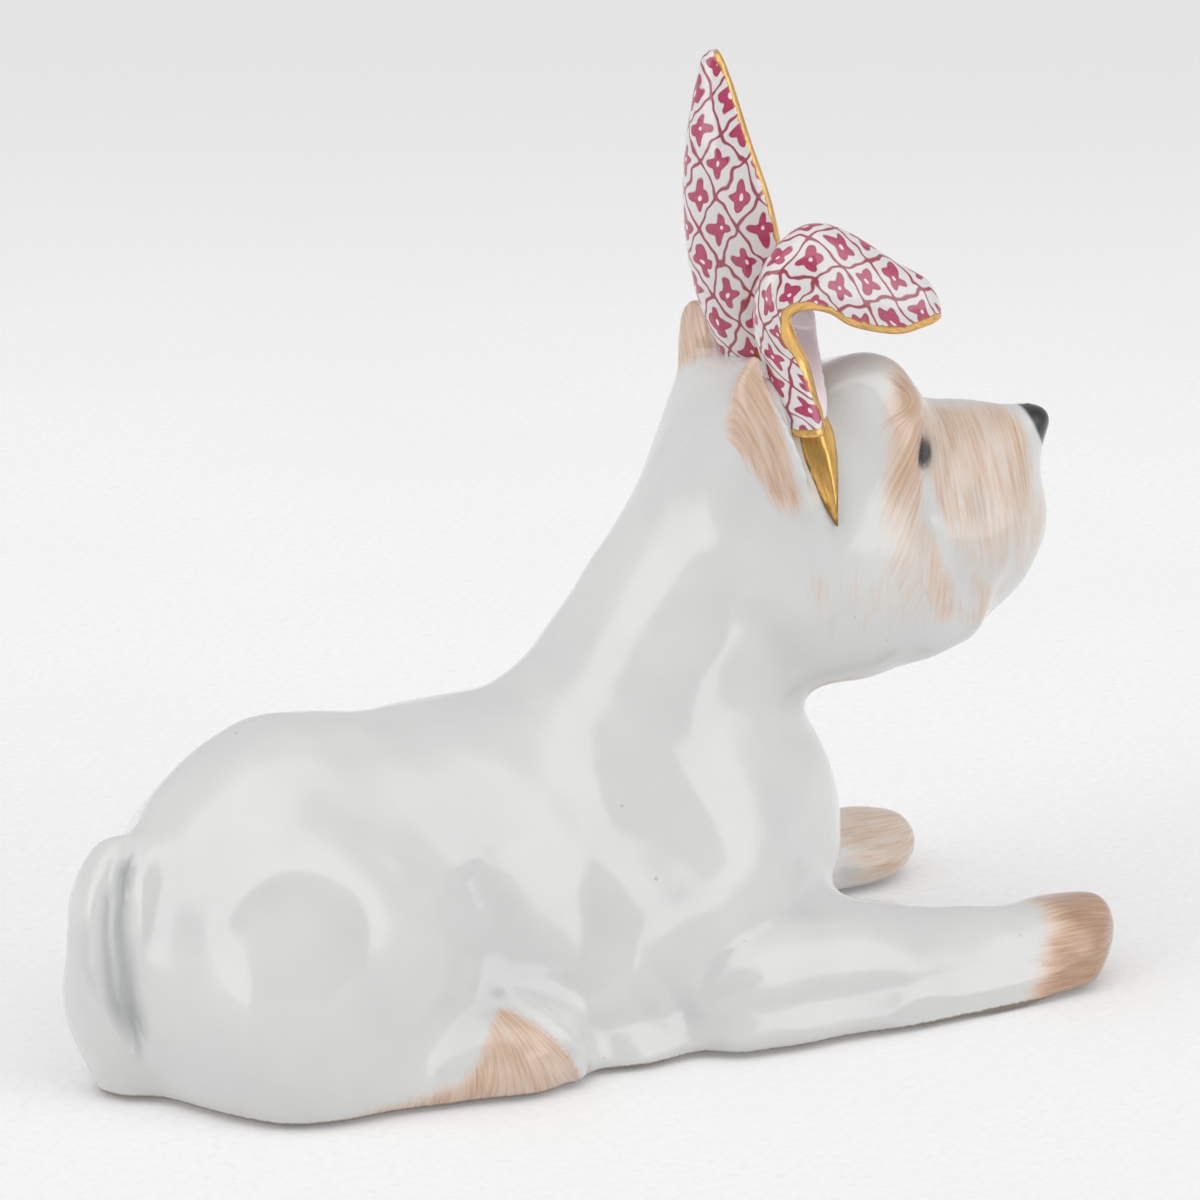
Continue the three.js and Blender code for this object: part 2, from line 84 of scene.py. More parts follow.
# The two rims of the dog's own left ear, root to tip, in the head's frame.
DOG_EAR_RIMS = (
    ((3.8, 11.6, 6.4), (2.4, 10.9, 10), (1.2, 9.9, 12.6), (0.6, 8.7, 15.2)),
    ((3.8, 5.6, 7.6), (2.4, 5.2, 10.6), (1.2, 6.6, 13), (0.6, 8, 15.2)),
)
LEFT_EAR_SET_BACK = 0.7

# Each station of a rabbit ear is (middle of the back, one rim, the other rim), from its root to its tip.
UPRIGHT_EAR = (
    ((2.5, 5.5, 10.2), (5.6, 3.6, 10.6), (6.2, 7.6, 10.2)),
    ((1.1, 5.3, 12.5), (5.3, 2.7, 12.4), (5.8, 8.2, 12)),
    ((-0.4, 5.2, 16), (5.3, 2.2, 16), (4.8, 9.2, 16)),
    ((-1.3, 5.4, 20), (5.2, 1.9, 20), (4.4, 9.8, 20)),
    ((-1.7, 5.6, 25), (4.2, 2, 25), (3.4, 9.9, 25)),
    ((-1.4, 5.8, 30), (2.6, 2.7, 30), (2.2, 9.1, 30)),
    ((-0.7, 5.9, 34.2), (1.6, 4, 34), (1.3, 7.9, 34)),
    ((0, 6, 37.3), (1, 5.35, 37.1), (1, 6.65, 37.1)),
)
FOLDED_EAR = (
    ((3.2, -9.7, 8.9), (5.1, -10.5, 8.7), (5.8, -9, 9.3)),
    ((2.5, -8.4, 11.4), (4.5, -10.1, 11), (6.2, -6.8, 12)),
    ((1.2, -6.2, 15.5), (3.9, -9.2, 14.4), (6.5, -3.2, 15.2)),
    ((1, -6, 18.9), (2.9, -9.4, 16.6), (6.5, -2.8, 17.2)),
    ((1.8, -6, 22.1), (2.6, -9.4, 18.6), (5.8, -2.8, 18.9)),
    ((3.9, -6, 24.4), (4.1, -9.4, 19.3), (6.1, -2.8, 19.6)),
    ((6.3, -6, 25), (6.2, -9.3, 18.9), (7.4, -2.8, 19.4)),
    ((9, -6, 24), (8.4, -9, 17.6), (9.2, -3, 18.4)),
    ((12.6, -6, 21.6), (12.2, -8.2, 16.6), (12.6, -3.8, 17)),
    ((15, -6, 20.2), (15, -7.4, 16.8), (15.1, -4.6, 16.9)),
    ((16.7, -6, 18.9), (16.6, -6.9, 16.9), (16.6, -5.1, 16.9)),
)

# Pats of clay that fill the head out: (sides, middle, radii), in the head's frame.
BOTH = (1, -1)
PATS = (
    (BOTH, (0.6, 8.3, 7.4), (2.6, 2.3, 5.6)),
    (BOTH, (-0.5, 8.3, 11.2), (1.5, 1.4, 3.4)),
    ((1,), (0, 8.4, 12.8), (1.8, 1.5, 3.3)),
    ((1,), (1.7, 8, 10.9), (2, 1.6, 3)),
    ((1,), (1.4, 7.4, 12.6), (2.1, 1.7, 3.2)),
    ((1,), (10.6, 4.8, 6.8), (3.8, 4.2, 4.5)),
    ((-1,), (10.8, 5.2, 8), (4.1, 4, 6.1)),
    ((-1,), (10.6, 2.6, 9), (4.1, 3.8, 4.7)),
    ((-1,), (10.5, 4.4, 10.4), (4.6, 4.2, 4)),
    ((-1,), (7.8, 4.6, 8.6), (3.7, 3.7, 4.6)),
    ((-1,), (3, 7.6, 9.6), (2.2, 2, 4.2)),
    (BOTH, (11.2, 6.6, 5.6), (2.4, 2.7, 4.4)),
    ((1,), (10.6, 0, 8.1), (4.3, 4.8, 4.3)),
    ((1,), (23.5, 0, 4.6), (3.3, 3, 2.9)),
    ((1,), (25.5, 0, 5), (2.4, 2.5, 2.6)),
    ((1,), (26.2, 0, 6), (2.3, 2.4, 1.9)),
    (BOTH, (14.9, 4.8, -9.6), (5.2, 3.8, 3.3)),
    (BOTH, (20, 3.6, -9.4), (3.6, 3.4, 3.3)),
)

# Where the thumb pushes the clay: (in the head's frame, sides, middle, reach, push).
PUSHES = (
    (True, BOTH, (22.6, 4, -7.8), 4, (-0.3, 0, 0.7)),
    (True, BOTH, (23.4, 3.4, -9.4), 3.8, (-1, 0, 1.1)),
    (True, (1,), (11, 5, 11.5), 4, (0, 0, -0.4)),
    (True, BOTH, (24.6, 4.5, -6), 4, (-0.9, 0, 0.6)),
    (True, BOTH, (14.2, 8.6, 6), 3.6, (-0.5, 0, 0)),
    (False, BOTH, (-24, 3, 29), 7, (0, 0, 0.7)),
    (False, BOTH, (-9, 2, 31), 5.5, (0, 0, -0.6)),
    (False, BOTH, (-43.5, 2, 0.5), 3.4, (1, 0, 0)),
    (False, BOTH, (23.6, 14.8, 9.8), 5.5, (0, 0, -1.7)),
    (False, BOTH, (38, 14.3, 7.2), 3.5, (0, 0, -0.4)),
    (False, (1,), (36.3, 10.4, 0.8), 2.6, (0, -2, 0)),
    (False, BOTH, (43.4, 14.8, 6.6), 2.6, (0.5, 0, 0.7)),
    (False, BOTH, (43.2, 18.6, 1), 3, (-1, 0, 0.4)),
)

# Where the clay of the head is smoothed least: (side, middle, reach), in the head's frame.
KEPT = (
    (1, (0.6, 7.6, 12), 3.4),
    (-1, (12.4, 4.6, 10.4), 3.2),
)

# Where the thumb smooths a seam away: (in the head's frame, middle, reach), on both sides.
SMOOTHED = (
    (True, (18.5, 3.4, -11.6), 4.2),
    (True, (22.6, 3.2, -9.6), 3.6),
    (False, (36.3, 9.5, 1.5), 2.8),
    (True, (10.5, 1.2, 12), 3.6),
    (False, (20.5, 12.5, 11), 3.6),
)

# How far the skin is let out near the table, on both sides: (x, mm).
FOOT = ((-9, 0), (-7, 1.5), (-2, 2), (4, 1.8), (8.6, 1.6), (13.2, 2), (17.7, 1.8), (24.1, 2.1),
        (32.6, 2.7), (36.9, 1.2), (41, 0.6), (43.5, 0))

# Broad faces patted flat on both sides: (middle, the way it faces, reach, radius), and the most one moves.
MOST_PATTED = 0.5
FACE_OUT = (-0.4636, 0.8364, 0.2924)
FACETS = (
    ((-29.6, 13.6, 17.6), FACE_OUT, 11.5, 34),
    ((-5, 13.7, 11.6), FACE_OUT, 10, 45),
)

# Marks of the modelling tool: (in the head's frame, width, rise or depth, path), made on both sides.
MARKS = (
    (False, 0.8, -1.5, ((-38, -0.5, 21.6), (-40.2, -2.7, 19), (-41, -3.5, 14.3), (-40.8, -3.8, 8.9),
                        (-40.1, -4.1, 5.6), (-39.6, -4.2, 3.4))),
    (False, 0.55, -1, ((-41.7, -2.4, 18.6), (-42.3, -3, 14.3), (-41.9, -3.5, 8.9), (-40.7, -4, 5.8))),
    (False, 0.55, -0.35, ((-43.2, -1.8, 15.2), (-43.6, -1.8, 12), (-42.8, -2.9, 8.7))),
    (False, 2, -0.45, ((-15.8, -11.6, 18.4), (-13.9, -12.4, 15.2), (-13.6, -13, 12.1), (-14.6, -13.3, 9.1))),
    (False, 3.4, 0.4, ((-20, -11.6, 17.4), (-18.8, -12.6, 12.1), (-20.4, -13.6, 7.5))),
    (False, 0.7, 0.35, ((-15.6, -13.2, 8.1), (-13.1, -13, 8.1), (-11, -15.6, 7), (-8.6, -17.4, 4),
                        (-5.4, -14, 0))),
    (False, 0.6, -0.3, ((-14.2, -14.4, 7.2), (-11.8, -16.4, 6), (-9.2, -17.6, 3.4), (-7, -16, 0.6))),
    (False, 1, -0.35, ((3.5, -16.2, 5), (5.2, -16.5, 8.2), (9.3, -15.9, 9.8), (13.9, -14.3, 10.2),
                       (17.5, -14.8, 10.1))),
    (False, 0.8, -0.2, ((-1.4, -15.3, 9), (2.1, -15.6, 5), (4.2, -15.1, 1))),
    (False, 0.9, 0.2, ((-3.2, -15.3, 9.6), (0.2, -15.6, 5.6), (2, -15.1, 1.4))),
    (False, 1.6, -0.35, ((11.1, -9.2, 35.4), (13.4, -10.1, 32), (16.7, -9.4, 27.9))),
    (True, 0.7, -0.8, ((15.3, -4.6, 9.4), (15.2, -7.4, 7.6), (15, -8.8, 5), (15.4, -8.6, 1.6),
                       (16, -8.4, -1))),
)

# Paths of the painted fur on the right side of the head, in the head's frame.
BARE = ((14.1, -9.2, 5.4), (15.3, -7.9, 2.1), (16.9, -7.8, -2.3), (19.2, -6.6, -7.3))
BROW = ((13.4, 0, 12.2), (14.2, -3.2, 11.8), (14.4, -6, 11), (14.2, -8.4, 9.2), (13.9, -9.7, 6.4),
        (13.6, -10.2, 3.6), (13.2, -10.5, 0.8), (13.2, -10.5, -2), (13.8, -10, -4.6))
JOWL = ((14.8, -8.8, -0.5), (15.2, -9.4, -3.7), (16.8, -8.4, -6.8))
CHEEK = ((14, -9.8, -4.8), (12, -10.6, -4.8), (9, -11, -4.8), (5.6, -11.1, -4.6))
BEARD = ((16.4, -7.9, -3.6), (18.3, -7.4, -5.3), (19.7, -7, -6.9), (21.3, -6.4, -8), (23, -4.5, -8.4))
EAR_FRINGE = ((0, -8.6, 15), (-0.4, -8.6, 12.6), (0.2, -9.6, 9.4), (1.2, -10.3, 6.6), (2.6, -10.9, 4),
              (3.6, -10.8, 2.2))

# How high the paint of a hind foot reaches: (x, z), at its crisp edge and where it fades into the thigh.
HIND_FOOT_EDGE = ((-16.5, 5), (-15.2, 6.2), (-14.2, 7), (-13.2, 7.2), (-12.1, 6.7), (-10.4, 5.1),
                  (-8.9, 3.2), (-8, 1.2), (-7.3, -1))
HIND_FOOT_FADE = ((-33, -0.2), (-26, 0.9), (-22, 1.5), (-18.6, 2.3), (-16.6, 4), (-15.4, 6.6), (-14, 12))

# The brush's marks in the fur, fine to broad: (how often across and along a stroke, roughness, strength).
BRUSH_MARKS = (
    ((3.4, 0.2, 1.0), 0.75, 0.95),
    ((1.3, 0.14, 1.0), 0.5, 0.45),
    ((0.5, 0.22, 1.0), 0.5, 0.6),
)

# The painted spots: their middles in the head's frame, their radii, and how soft their edges are.
EYE = ((14.9, 8.3, 6.3), (0.95, 1.6, 1.5), 0.28)
EYE_SHADOW = ((15.4, 8.3, 6.4), (1.6, 1.8, 1.9), 0.5)
NOSE = ((27.7, 0.0, 6.3), (2.9, 2.5, 2.6), 0.08)

# Shares of the white: where the glaze is cooler, on the backs of the rabbit ears, and in a speck of ash.
COOLER = (0.945, 0.943, 0.957)
EAR_BACK = (1.04, 1.01, 1.03)
ASH = 0.45

# Rounds of smoothing: of pushed clay, over its seams, of carved clay, and to find creases and hollows.
PUSHED_ROUNDS = 7
SEAM_ROUNDS = 50
CARVED_ROUNDS = 2
CREASE_ROUNDS = 6
HOLLOW_ROUNDS = 80

# A distance past all others in mm, and how near in metres two points are made one.
FAR_OFF = 1e9
WELD = 1e-6

# Rows along a rabbit ear, and the columns of its inside, of each lip and of its back.
EAR_ROWS = 110
INSIDE_COLUMNS = 13
LIP_COLUMNS = 7
BACK_COLUMNS = 41

# Rows along the hoop of the headband, the columns of its top and its underside, and sizes in mm.
HOOP_ROWS = 150
TOP_COLUMNS = 17
UNDER_COLUMNS = 7
POINT_HALF_WIDTH = 0.02
HOOP_SUNK = -1.0
RIDGE_ROUNDNESS = 0.004
OFF_SKULL = 30.0

# The middle of the skull, which the rabbit ears grow towards, and its radius.
SKULL = (4.0, 0.0, 4.0)
SKULL_RADIUS = 11.0

# The finish of the glaze.
GLOSS = 0.6
GLAZE = {"Roughness": 0.2, "IOR": 1.55, "Coat Weight": GLOSS, "Coat Roughness": 0.07}

# The felt under the dog: its own tone, its pile, its worn places, and the painted shade that darkens it far
# off. Half its width is in metres.
FELT = (0.83, 0.83, 0.835)
FELT_PILE = (0.765, 0.765, 0.77)
FELT_WORN = (0.77, 0.77, 0.77)
FELT_SHADE_FAR = (0.67, 0.67, 0.67)
FELT_GLOW = 0.19
FLOOR_HALF = 3.0

# The tent's tones by how far towards its opening a place lies: (share, colour).
TENT_TONES = (
    (0.1, (0.3, 0.305, 0.31)), (0.3, (0.45, 0.45, 0.4455)), (0.48, (1.0, 1.0, 0.99)),
    (0.89, (1.0, 1.0, 0.99)), (0.93, (0.16, 0.16, 0.1584)), (1.0, (0.16, 0.16, 0.165)),
)
TENT_BRIGHTNESS = 1.99

# The soft lamp over the table, in metres, and how bright each part of it is.
LAMP_PLACE = (0.05, 0.1, 0.75)
LAMP_SIZE = 0.8
LAMP_RADIANCE = 0.12


def length(name, description, default, **more):
    """A size in millimetres."""
    return FloatProperty(name=name, description=description, default=default, min=0.0, **more)


def angle(name, description, degrees):
    """An angle."""
    return FloatProperty(name=name, description=description, default=math.radians(degrees), subtype="ANGLE")


def colour(name, description, default):
    """A linear colour."""
    return FloatVectorProperty(name=name, description=description, default=default, size=3,
                               min=0.0, max=1.0, subtype="COLOR")


class ClaySettings(bpy.types.PropertyGroup):
    """How the body is modelled"""
    voxel: length("Grain", "Size of the clay's grains in mm", 0.42)
    spare: length("Spare", "How far the castings swell in mm to close their seams", 0.3)
    rounds: IntProperty(name="Rounds", description="Rounds of smoothing by hand", default=34, min=1)
    give: FloatProperty(name="Give", description="How much of its place a smoothed point gives up in a round",
                        default=0.8, min=0.0, max=1.0, subtype="FACTOR")
    rim_guard: length("Rim guard", "How near an ear's rim in mm the clay keeps its edge", 1.5)
    uneven: length("Uneven", "Height in mm of the clay's gentle waves", 0.035)


class EarSettings(bpy.types.PropertyGroup):
    """How the rabbit ears are pinched and painted"""
    wall: length("Wall", "Thickness of the sheet of clay in mm", 1.3)
    root: length("Root", "How deep in mm the ears are let into the head", 1.6)
    mesh_width: length("Lattice width", "Width of a diamond of the painted lattice in mm", 3.5)
    mesh_height: length("Lattice height", "Height of a diamond of the painted lattice in mm", 5.4)
    line: length("Line", "Width of the lattice's brush lines in mm", 0.24)
    blossom: length("Blossom", "Radius of the blossom in each diamond in mm", 1.0)


class BandSettings(bpy.types.PropertyGroup):
    """The hoop of the headband"""
    half_width: length("Half width", "Half the width of the hoop in mm", 1.8)
    rise: length("Rise", "Height of its ridge over the head in mm", 1.3)
    edge: length("Edge", "Height of its edges in mm", 0.5)
    shoulder: angle("Shoulder", "Where the hoop starts to narrow", 46)
    span: angle("Span", "Where its points end", 83)
    place: length("Place", "How far in front of the skull's middle the hoop stands, in mm", 5.2)
    point_place: length("Point place", "How far in front the points lie, in mm", 6.6)


class GlazeSettings(bpy.types.PropertyGroup):
    """Colours of the glazes and paints"""
    white: colour("White", "Glazed porcelain", (0.765, 0.77, 0.752))
    tan: colour("Tan", "Fur painted under the glaze", (0.77, 0.53, 0.375))
    deep_tan: colour("Deep tan", "Fur where the brush went twice", (0.44, 0.245, 0.14))
    raspberry: colour("Raspberry", "Lattice on the rabbit ears", (0.36, 0.003, 0.045))
    wash: colour("Wash", "Watered raspberry in the blossoms", (0.52, 0.03, 0.13))
    rose: colour("Rose", "Inside of the ears", (0.97, 0.86, 0.90))
    gold: colour("Gold", "Burnished gold", (0.90, 0.53, 0.16))
    bronze: colour("Bronze", "Edge of the gold where it fired dark", (0.22, 0.11, 0.04))
    black: colour("Black", "Nose and eyes", (0.012, 0.010, 0.011))
    # Painted shade in creases and hollows: in the creases partly glaze that stands thick there, in broad
    # hollows such as under the jaw only shade.
    pool: colour("Pool", "Glaze that stands thick in a crease", (0.50, 0.52, 0.54))
    # Painted contact shadow: dark brown along the lowest mm, partly the unglazed foot, partly the shadow
    # where the body meets the table.
    foot_rim_and_contact_shadow: colour("Biscuit", "Unglazed foot that stands on the table", (0.22, 0.175, 0.13))


class StageSettings(bpy.types.PropertyGroup):
    """Camera and lamp"""
    azimuth: angle("Azimuth", "Where the camera stands round the figurine", -29)
    elevation: angle("Elevation", "How high the camera stands", 17)
    distance: length("Distance", "From the camera to its target in mm", 420.0)
    lens: length("Lens", "Focal length in mm", 155.55)
    target: FloatVectorProperty(name="Target", description="What the camera looks at, in mm", size=3,
                                default=(3.568, 0.34, 34.0))
    lamp: FloatProperty(name="Lamp", description="Brightness of the soft lamp", default=1.0, min=0.0)


def to_head(points):
    """Points of the dog's frame, in mm, in the head's frame."""
    return (np.asarray(points) - HEAD_PLACE) @ HEAD_AXES.T


def from_head(points):
    """Points of the head's frame, in mm, in the dog's frame."""
    return np.asarray(points) @ HEAD_AXES + HEAD_PLACE


def step(value, low, high):
    """0 below low, 1 above high and a smooth rise between them."""
    share = np.clip((np.asarray(value) - low) / (high - low), 0.0, 1.0)
    return share * share * (3 - 2 * share)


def bell(away, reach):
    """1 at no distance, and next to nothing at twice the reach."""
    return np.exp(-(away / reach) ** 2)


def to_right(points):
    """Points, with those of the left side mirrored to the right."""
    return np.stack([points[:, 0], -np.abs(points[:, 1]), points[:, 2]], axis=1)


def away_from(points, middle, side=1):
    """Each point's distance from a place, or from its mirror image."""
    return np.linalg.norm(points - np.asarray(middle) * (1, side, 1), axis=1)


def nearness(points, path):
    """Each point's distance from a path, and how far along the path its nearest place lies, from 0 to 1."""
    path = np.asarray(path, dtype=float)
    best = np.full(len(points), FAR_OFF)
    along = np.zeros(len(points))
    lengths = np.linalg.norm(np.diff(path, axis=0), axis=1)
    starts = np.concatenate([[0.0], np.cumsum(lengths)])
    for start, end, before, run in zip(path[:-1], path[1:], starts, lengths):
        share = np.clip((points - start) @ (end - start) / run ** 2, 0.0, 1.0)
        away = np.linalg.norm(points - start - share[:, None] * (end - start), axis=1)
        closer = away < best
        best[closer] = away[closer]
        along[closer] = (before + share[closer] * run) / starts[-1]
    return best, along


class Clay:
    """A mesh in millimetres that is worked as a sculptor works clay."""

    def __init__(self, mesh):
        self.mesh = mesh
        self.points = np.empty(len(mesh.vertices) * 3, dtype=np.float32)
        mesh.vertices.foreach_get("co", self.points)
        self.points = self.points.reshape(-1, 3).astype(float) / MM
        edges = np.empty(len(mesh.edges) * 2, dtype=np.int32)
        mesh.edges.foreach_get("vertices", edges)
        edges = edges.reshape(-1, 2)
        self.ends = np.concatenate([edges[:, 0], edges[:, 1]])
        self.others = np.concatenate([edges[:, 1], edges[:, 0]])
        self.degree = np.maximum(np.bincount(self.ends, minlength=len(self.points)), 1)

    def around(self, values):
        """The mean of each point's neighbours."""
        sums = [np.bincount(self.ends, weights=column[self.others], minlength=len(column))
                for column in values.T]
        return np.stack(sums, axis=1) / self.degree[:, None]

    def smoothed(self, values, rounds, share=1.0):
        """Values evened out among neighbours, by a share that may differ from point to point."""
        share = np.broadcast_to(share, len(values))[:, None]
        for _ in range(rounds):
            values = values + share * (self.around(values) - values)
        return values

    def soften(self, rounds, share):
        """Smooths the clay."""
        self.points = self.smoothed(self.points, rounds, share)

    def relax(self, rounds, share):
        """Smooths the clay and gives back what it lost in size."""
        before = self.points
        self.soften(rounds, share)
        self.points = self.points + self.smoothed(before - self.points, rounds, share)

    def normals(self):
        """The way each point faces."""
        self.write()
        faces = np.empty(len(self.mesh.vertices) * 3, dtype=np.float32)
        self.mesh.vertex_normals.foreach_get("vector", faces)
        return faces.reshape(-1, 3).astype(float)

    def swell(self, amounts):
        """Moves each point out by its amount."""
        self.points += self.normals() * np.broadcast_to(amounts, len(self.points))[:, None]

    def push(self, pushes):
        """Pushes the clay with the thumb."""
        for on_head, sides, middle, reach, way in pushes:
            points = to_head(self.points) if on_head else self.points
            away = np.min([away_from(points, middle, side) for side in sides], axis=0)
            way = np.asarray(way) @ HEAD_AXES if on_head else np.asarray(way)
            self.points = self.points + bell(away, reach)[:, None] * way

    def nearby(self, places):
        """How near each point lies to any of the places or their mirror images, from 0 to 1."""
        share = np.zeros(len(self.points))
        for on_head, middle, reach in places:
            points = to_head(self.points) if on_head else self.points
            away = np.minimum(away_from(points, middle, 1), away_from(points, middle, -1))
            share = np.maximum(share, bell(away, reach))
        return share

    def square_foot(self, foot):
        """Lets the skin out near the table, so that the dog stands on a square foot."""
        x, y, z = self.points.T
        amount = np.interp(x, *np.transpose(foot)) * step(np.abs(y), 10.5, 13.0) * (1 - step(z, 0.4, 4.5))
        self.points[:, 1] += np.sign(y) * amount

    def flatten(self, facets):
        """Pats broad places flat, or nearly so."""
        for middle, way, reach, radius in facets:
            for side in BOTH:
                outward = np.asarray(way) * (1, side, 1)
                arm = self.points - np.asarray(middle) * (1, side, 1)
                height = arm @ outward
                across = np.sqrt(np.maximum(np.sum(arm ** 2, axis=1) - height ** 2, 0.0))
                share = (1 - step(across, 0.3 * reach, reach)) * (1 - step(np.abs(height), 3.0, 5.0))
                missing = -across ** 2 / (2 * radius) - height
                missing = MOST_PATTED * np.tanh(missing / MOST_PATTED)
                self.points += (share * missing)[:, None] * outward

    def undulate(self, height):
        """Leaves the clay a little uneven, as hands do."""
        waves = ((0.62, 0.35, -0.41), (-0.30, 0.71, 0.52), (0.18, -0.44, 0.83), (1.05, 0.20, 0.62),
                 (-0.52, -0.9, 0.71))
        uneven = sum(np.sin(self.points @ np.array(wave) + 1.7 * order) for order, wave in enumerate(waves))
        self.swell(height * uneven)

    def carve(self, marks):
        """Presses marks into the clay, on both sides, and tells how deep each point lies in a narrow one."""
        dog_points, head_points = self.points, to_head(self.points)
        rise, narrow = np.zeros(len(self.points)), np.zeros(len(self.points))
        for on_head, width, height, path in marks:
            points = head_points if on_head else dog_points
            for side in BOTH:
                away, along = nearness(points, np.asarray(path) * (1, side, 1))
                ends = step(along, -0.02, 0.18) * (1 - step(along, 0.8, 1.02))
                rise += height * bell(away, width) * ends
                if width < 1 and height < 0:
                    narrow = np.maximum(narrow, -height * bell(away, 0.6 * width) * ends)
        self.swell(rise)
        return np.minimum(narrow, 1.0)

    def hollowness(self, rounds):
        """How deep each point lies in a hollow, in mm."""
        depth = np.sum((self.smoothed(self.points, rounds) - self.points) * self.normals(), axis=1)
        return self.smoothed(depth[:, None], rounds // 2)[:, 0]

    def paint(self, name, values):
        """Keeps values on the mesh for its material, a number or a vector to a point."""
        kind, field = ("FLOAT_VECTOR", "vector") if np.ndim(values) == 2 else ("FLOAT", "value")
        layer = self.mesh.attributes.new(name, kind, "POINT")
        layer.data.foreach_set(field, np.asarray(values, dtype=np.float32).ravel())

    def write(self):
        """Puts the points back into the mesh."""
        self.mesh.vertices.foreach_set("co", (self.points * MM).astype(np.float32).ravel())
        self.mesh.update()


def placed(name, data):
    """A new object in the scene."""
    thing = bpy.data.objects.new(name, data)
    bpy.context.scene.collection.objects.link(thing)
    return thing


def as_mesh(name, shape):
    """A bmesh made a mesh."""
    mesh = bpy.data.meshes.new(name)
    shape.to_mesh(mesh)
    shape.free()
    return mesh


def look_along(thing, way):
    """Turns a camera or a lamp so that it looks along a way."""
    thing.rotation_mode = "QUATERNION"
    thing.rotation_quaternion = way.to_track_quat("-Z", "Y")


def add_piece(name, mesh, material, replaced):
    """Adds a finished piece of the figurine."""
    piece = placed(name, mesh)
    mesh.materials.clear()
    mesh.materials.append(material)
    mesh.polygons.foreach_set("use_smooth", [True] * len(mesh.polygons))
    mesh.update()
    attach(piece, "root")
    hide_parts(*replaced)


def outer_shell(shell):
    """Deletes all but the largest loose part of a bmesh."""
    parts, left = [], set(shell.verts)
    while left:
        part, reached = set(), {left.pop()}
        while reached:
            part |= reached
            reached = {edge.other_vert(vert) for vert in reached for edge in vert.link_edges} - part
        left -= part
        parts.append(part)
    parts.sort(key=len)
    bmesh.ops.delete(shell, geom=[vert for part in parts[:-1] for vert in part], context="VERTS")


def clay_blank(voxel, spare):
    """The castings, swelled until they meet, as one closed skin of even grain."""
    clay = bmesh.new()
    for name in CASTINGS:
        clay.from_mesh(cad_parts[name].data)
    bmesh.ops.remove_doubles(clay, verts=clay.verts, dist=WELD)
    clay.normal_update()
    for vert in clay.verts:
        vert.co += vert.normal * spare
    turn = Matrix.Rotation(HEAD_TURN, 4, "Z")
    for sides, middle, radii in PATS:
        for side in sides:
            pat = from_head(np.array(middle) * (1, side, 1)) * MM
            place = Matrix.Translation(pat) @ turn @ Matrix.Diagonal((*(r * MM for r in radii), 1.0))
            bmesh.ops.create_uvsphere(clay, u_segments=24, v_segments=16, radius=1.0, matrix=place)
    blank = placed("blank", as_mesh("blank", clay))
    grain = blank.modifiers.new("grain", "REMESH")
    grain.mode = "VOXEL"
    grain.voxel_size = voxel
    skin = bpy.data.meshes.new_from_object(blank.evaluated_get(bpy.context.evaluated_depsgraph_get()))
    # The blank goes with its mesh.
    bpy.data.meshes.remove(blank.data)
    shell = bmesh.new()
    shell.from_mesh(skin)
    outer_shell(shell)
    shell.to_mesh(skin)
    shell.free()
    return skin


def head_fur(right):
    """The patches of fur on the head: how thick each is, which stroke it is, and how far down it, in mm."""
    x, y, z = right.T
    covered = 1 - 0.85 * bell(nearness(right, BARE)[0], 0.9)

    # The muzzle, thinner at the chin and round the nose, its strokes running down it.
    side = step(z, -9.5, -2.0) * (0.62 + 0.23 * step(z, -3.0, 3.0))
    muzzle = step(x, 14.2, 15.4) * side * (1 - 0.8 * step(x, 24.6, 26.0) * step(z, -1.5, 4.0))
    muzzle *= 0.15 + 0.85 * step(away_from(right, NOSE[0]), 3.0, 4.4)
    muzzle *= covered * (1 - 0.55 * step(z, 7.0, 8.4) * (1 - step(np.abs(y), 0.5, 2.5)))
    front = step(x, 24.5, 26.5)
    yield 0.84 * muzzle, x * (1 - front) + (np.abs(y) + 22.0) * front + 0.12 * z, z

    # The brow, its strokes slanting beside the eye and running fore and aft on top.
    down = nearness(right, BROW)[0]
    brow = (1 - step(down, 1.2, 4.4)) * (1 - step(x + 0.2 * np.minimum(z, 0.0), 14.5, 15.2))
    brow *= 0.42 + 0.58 * step(z, -1.5, 5.5)
    on_top = step(z, 8.5, 11.0)
    yield brow, 15.5 + (1 - on_top) * (0.86 * (x - 14.8) - 0.5 * (z - 6)) + on_top * (y + 2.3), down

    # The jowl, the cheek with its ragged fringe, and the beard.
    ragged = np.stack([0 * x, 0 * x, 1.3 * np.sin(2.3 * x) + 0.9 * np.sin(5.1 * x + 1.0)], axis=1)
    for path, shift, thick, inner, outer, lean in (
            (JOWL, 0, 0.62 * covered, 0.8, 2.6, -0.12),
            (CHEEK, ragged, 0.34, 0.2, 3.6, -0.05),
            (BEARD, 0, 0.55 * covered, 0.8, 3.2, 0.02)):
        away = nearness(right + shift, path)[0]
        yield thick * (1 - step(away, inner, outer)), x + lean * z, z

    # The fringe on the dog's own ear, broader towards its tip.
    width = 1.1 + 1.4 * step(z, 4.0, 12.0)
    fringe = 1 - step(nearness(right, EAR_FRINGE)[0], 0.7 * width, 1.9 * width)
    fringe *= step(z, 1.0, 4.5) * (1 - step(x - 0.25 * (8 - z), 2.0, 3.2))
    yield 0.92 * fringe, 0.95 * x + 0.3 * z + 0.4 * y, z


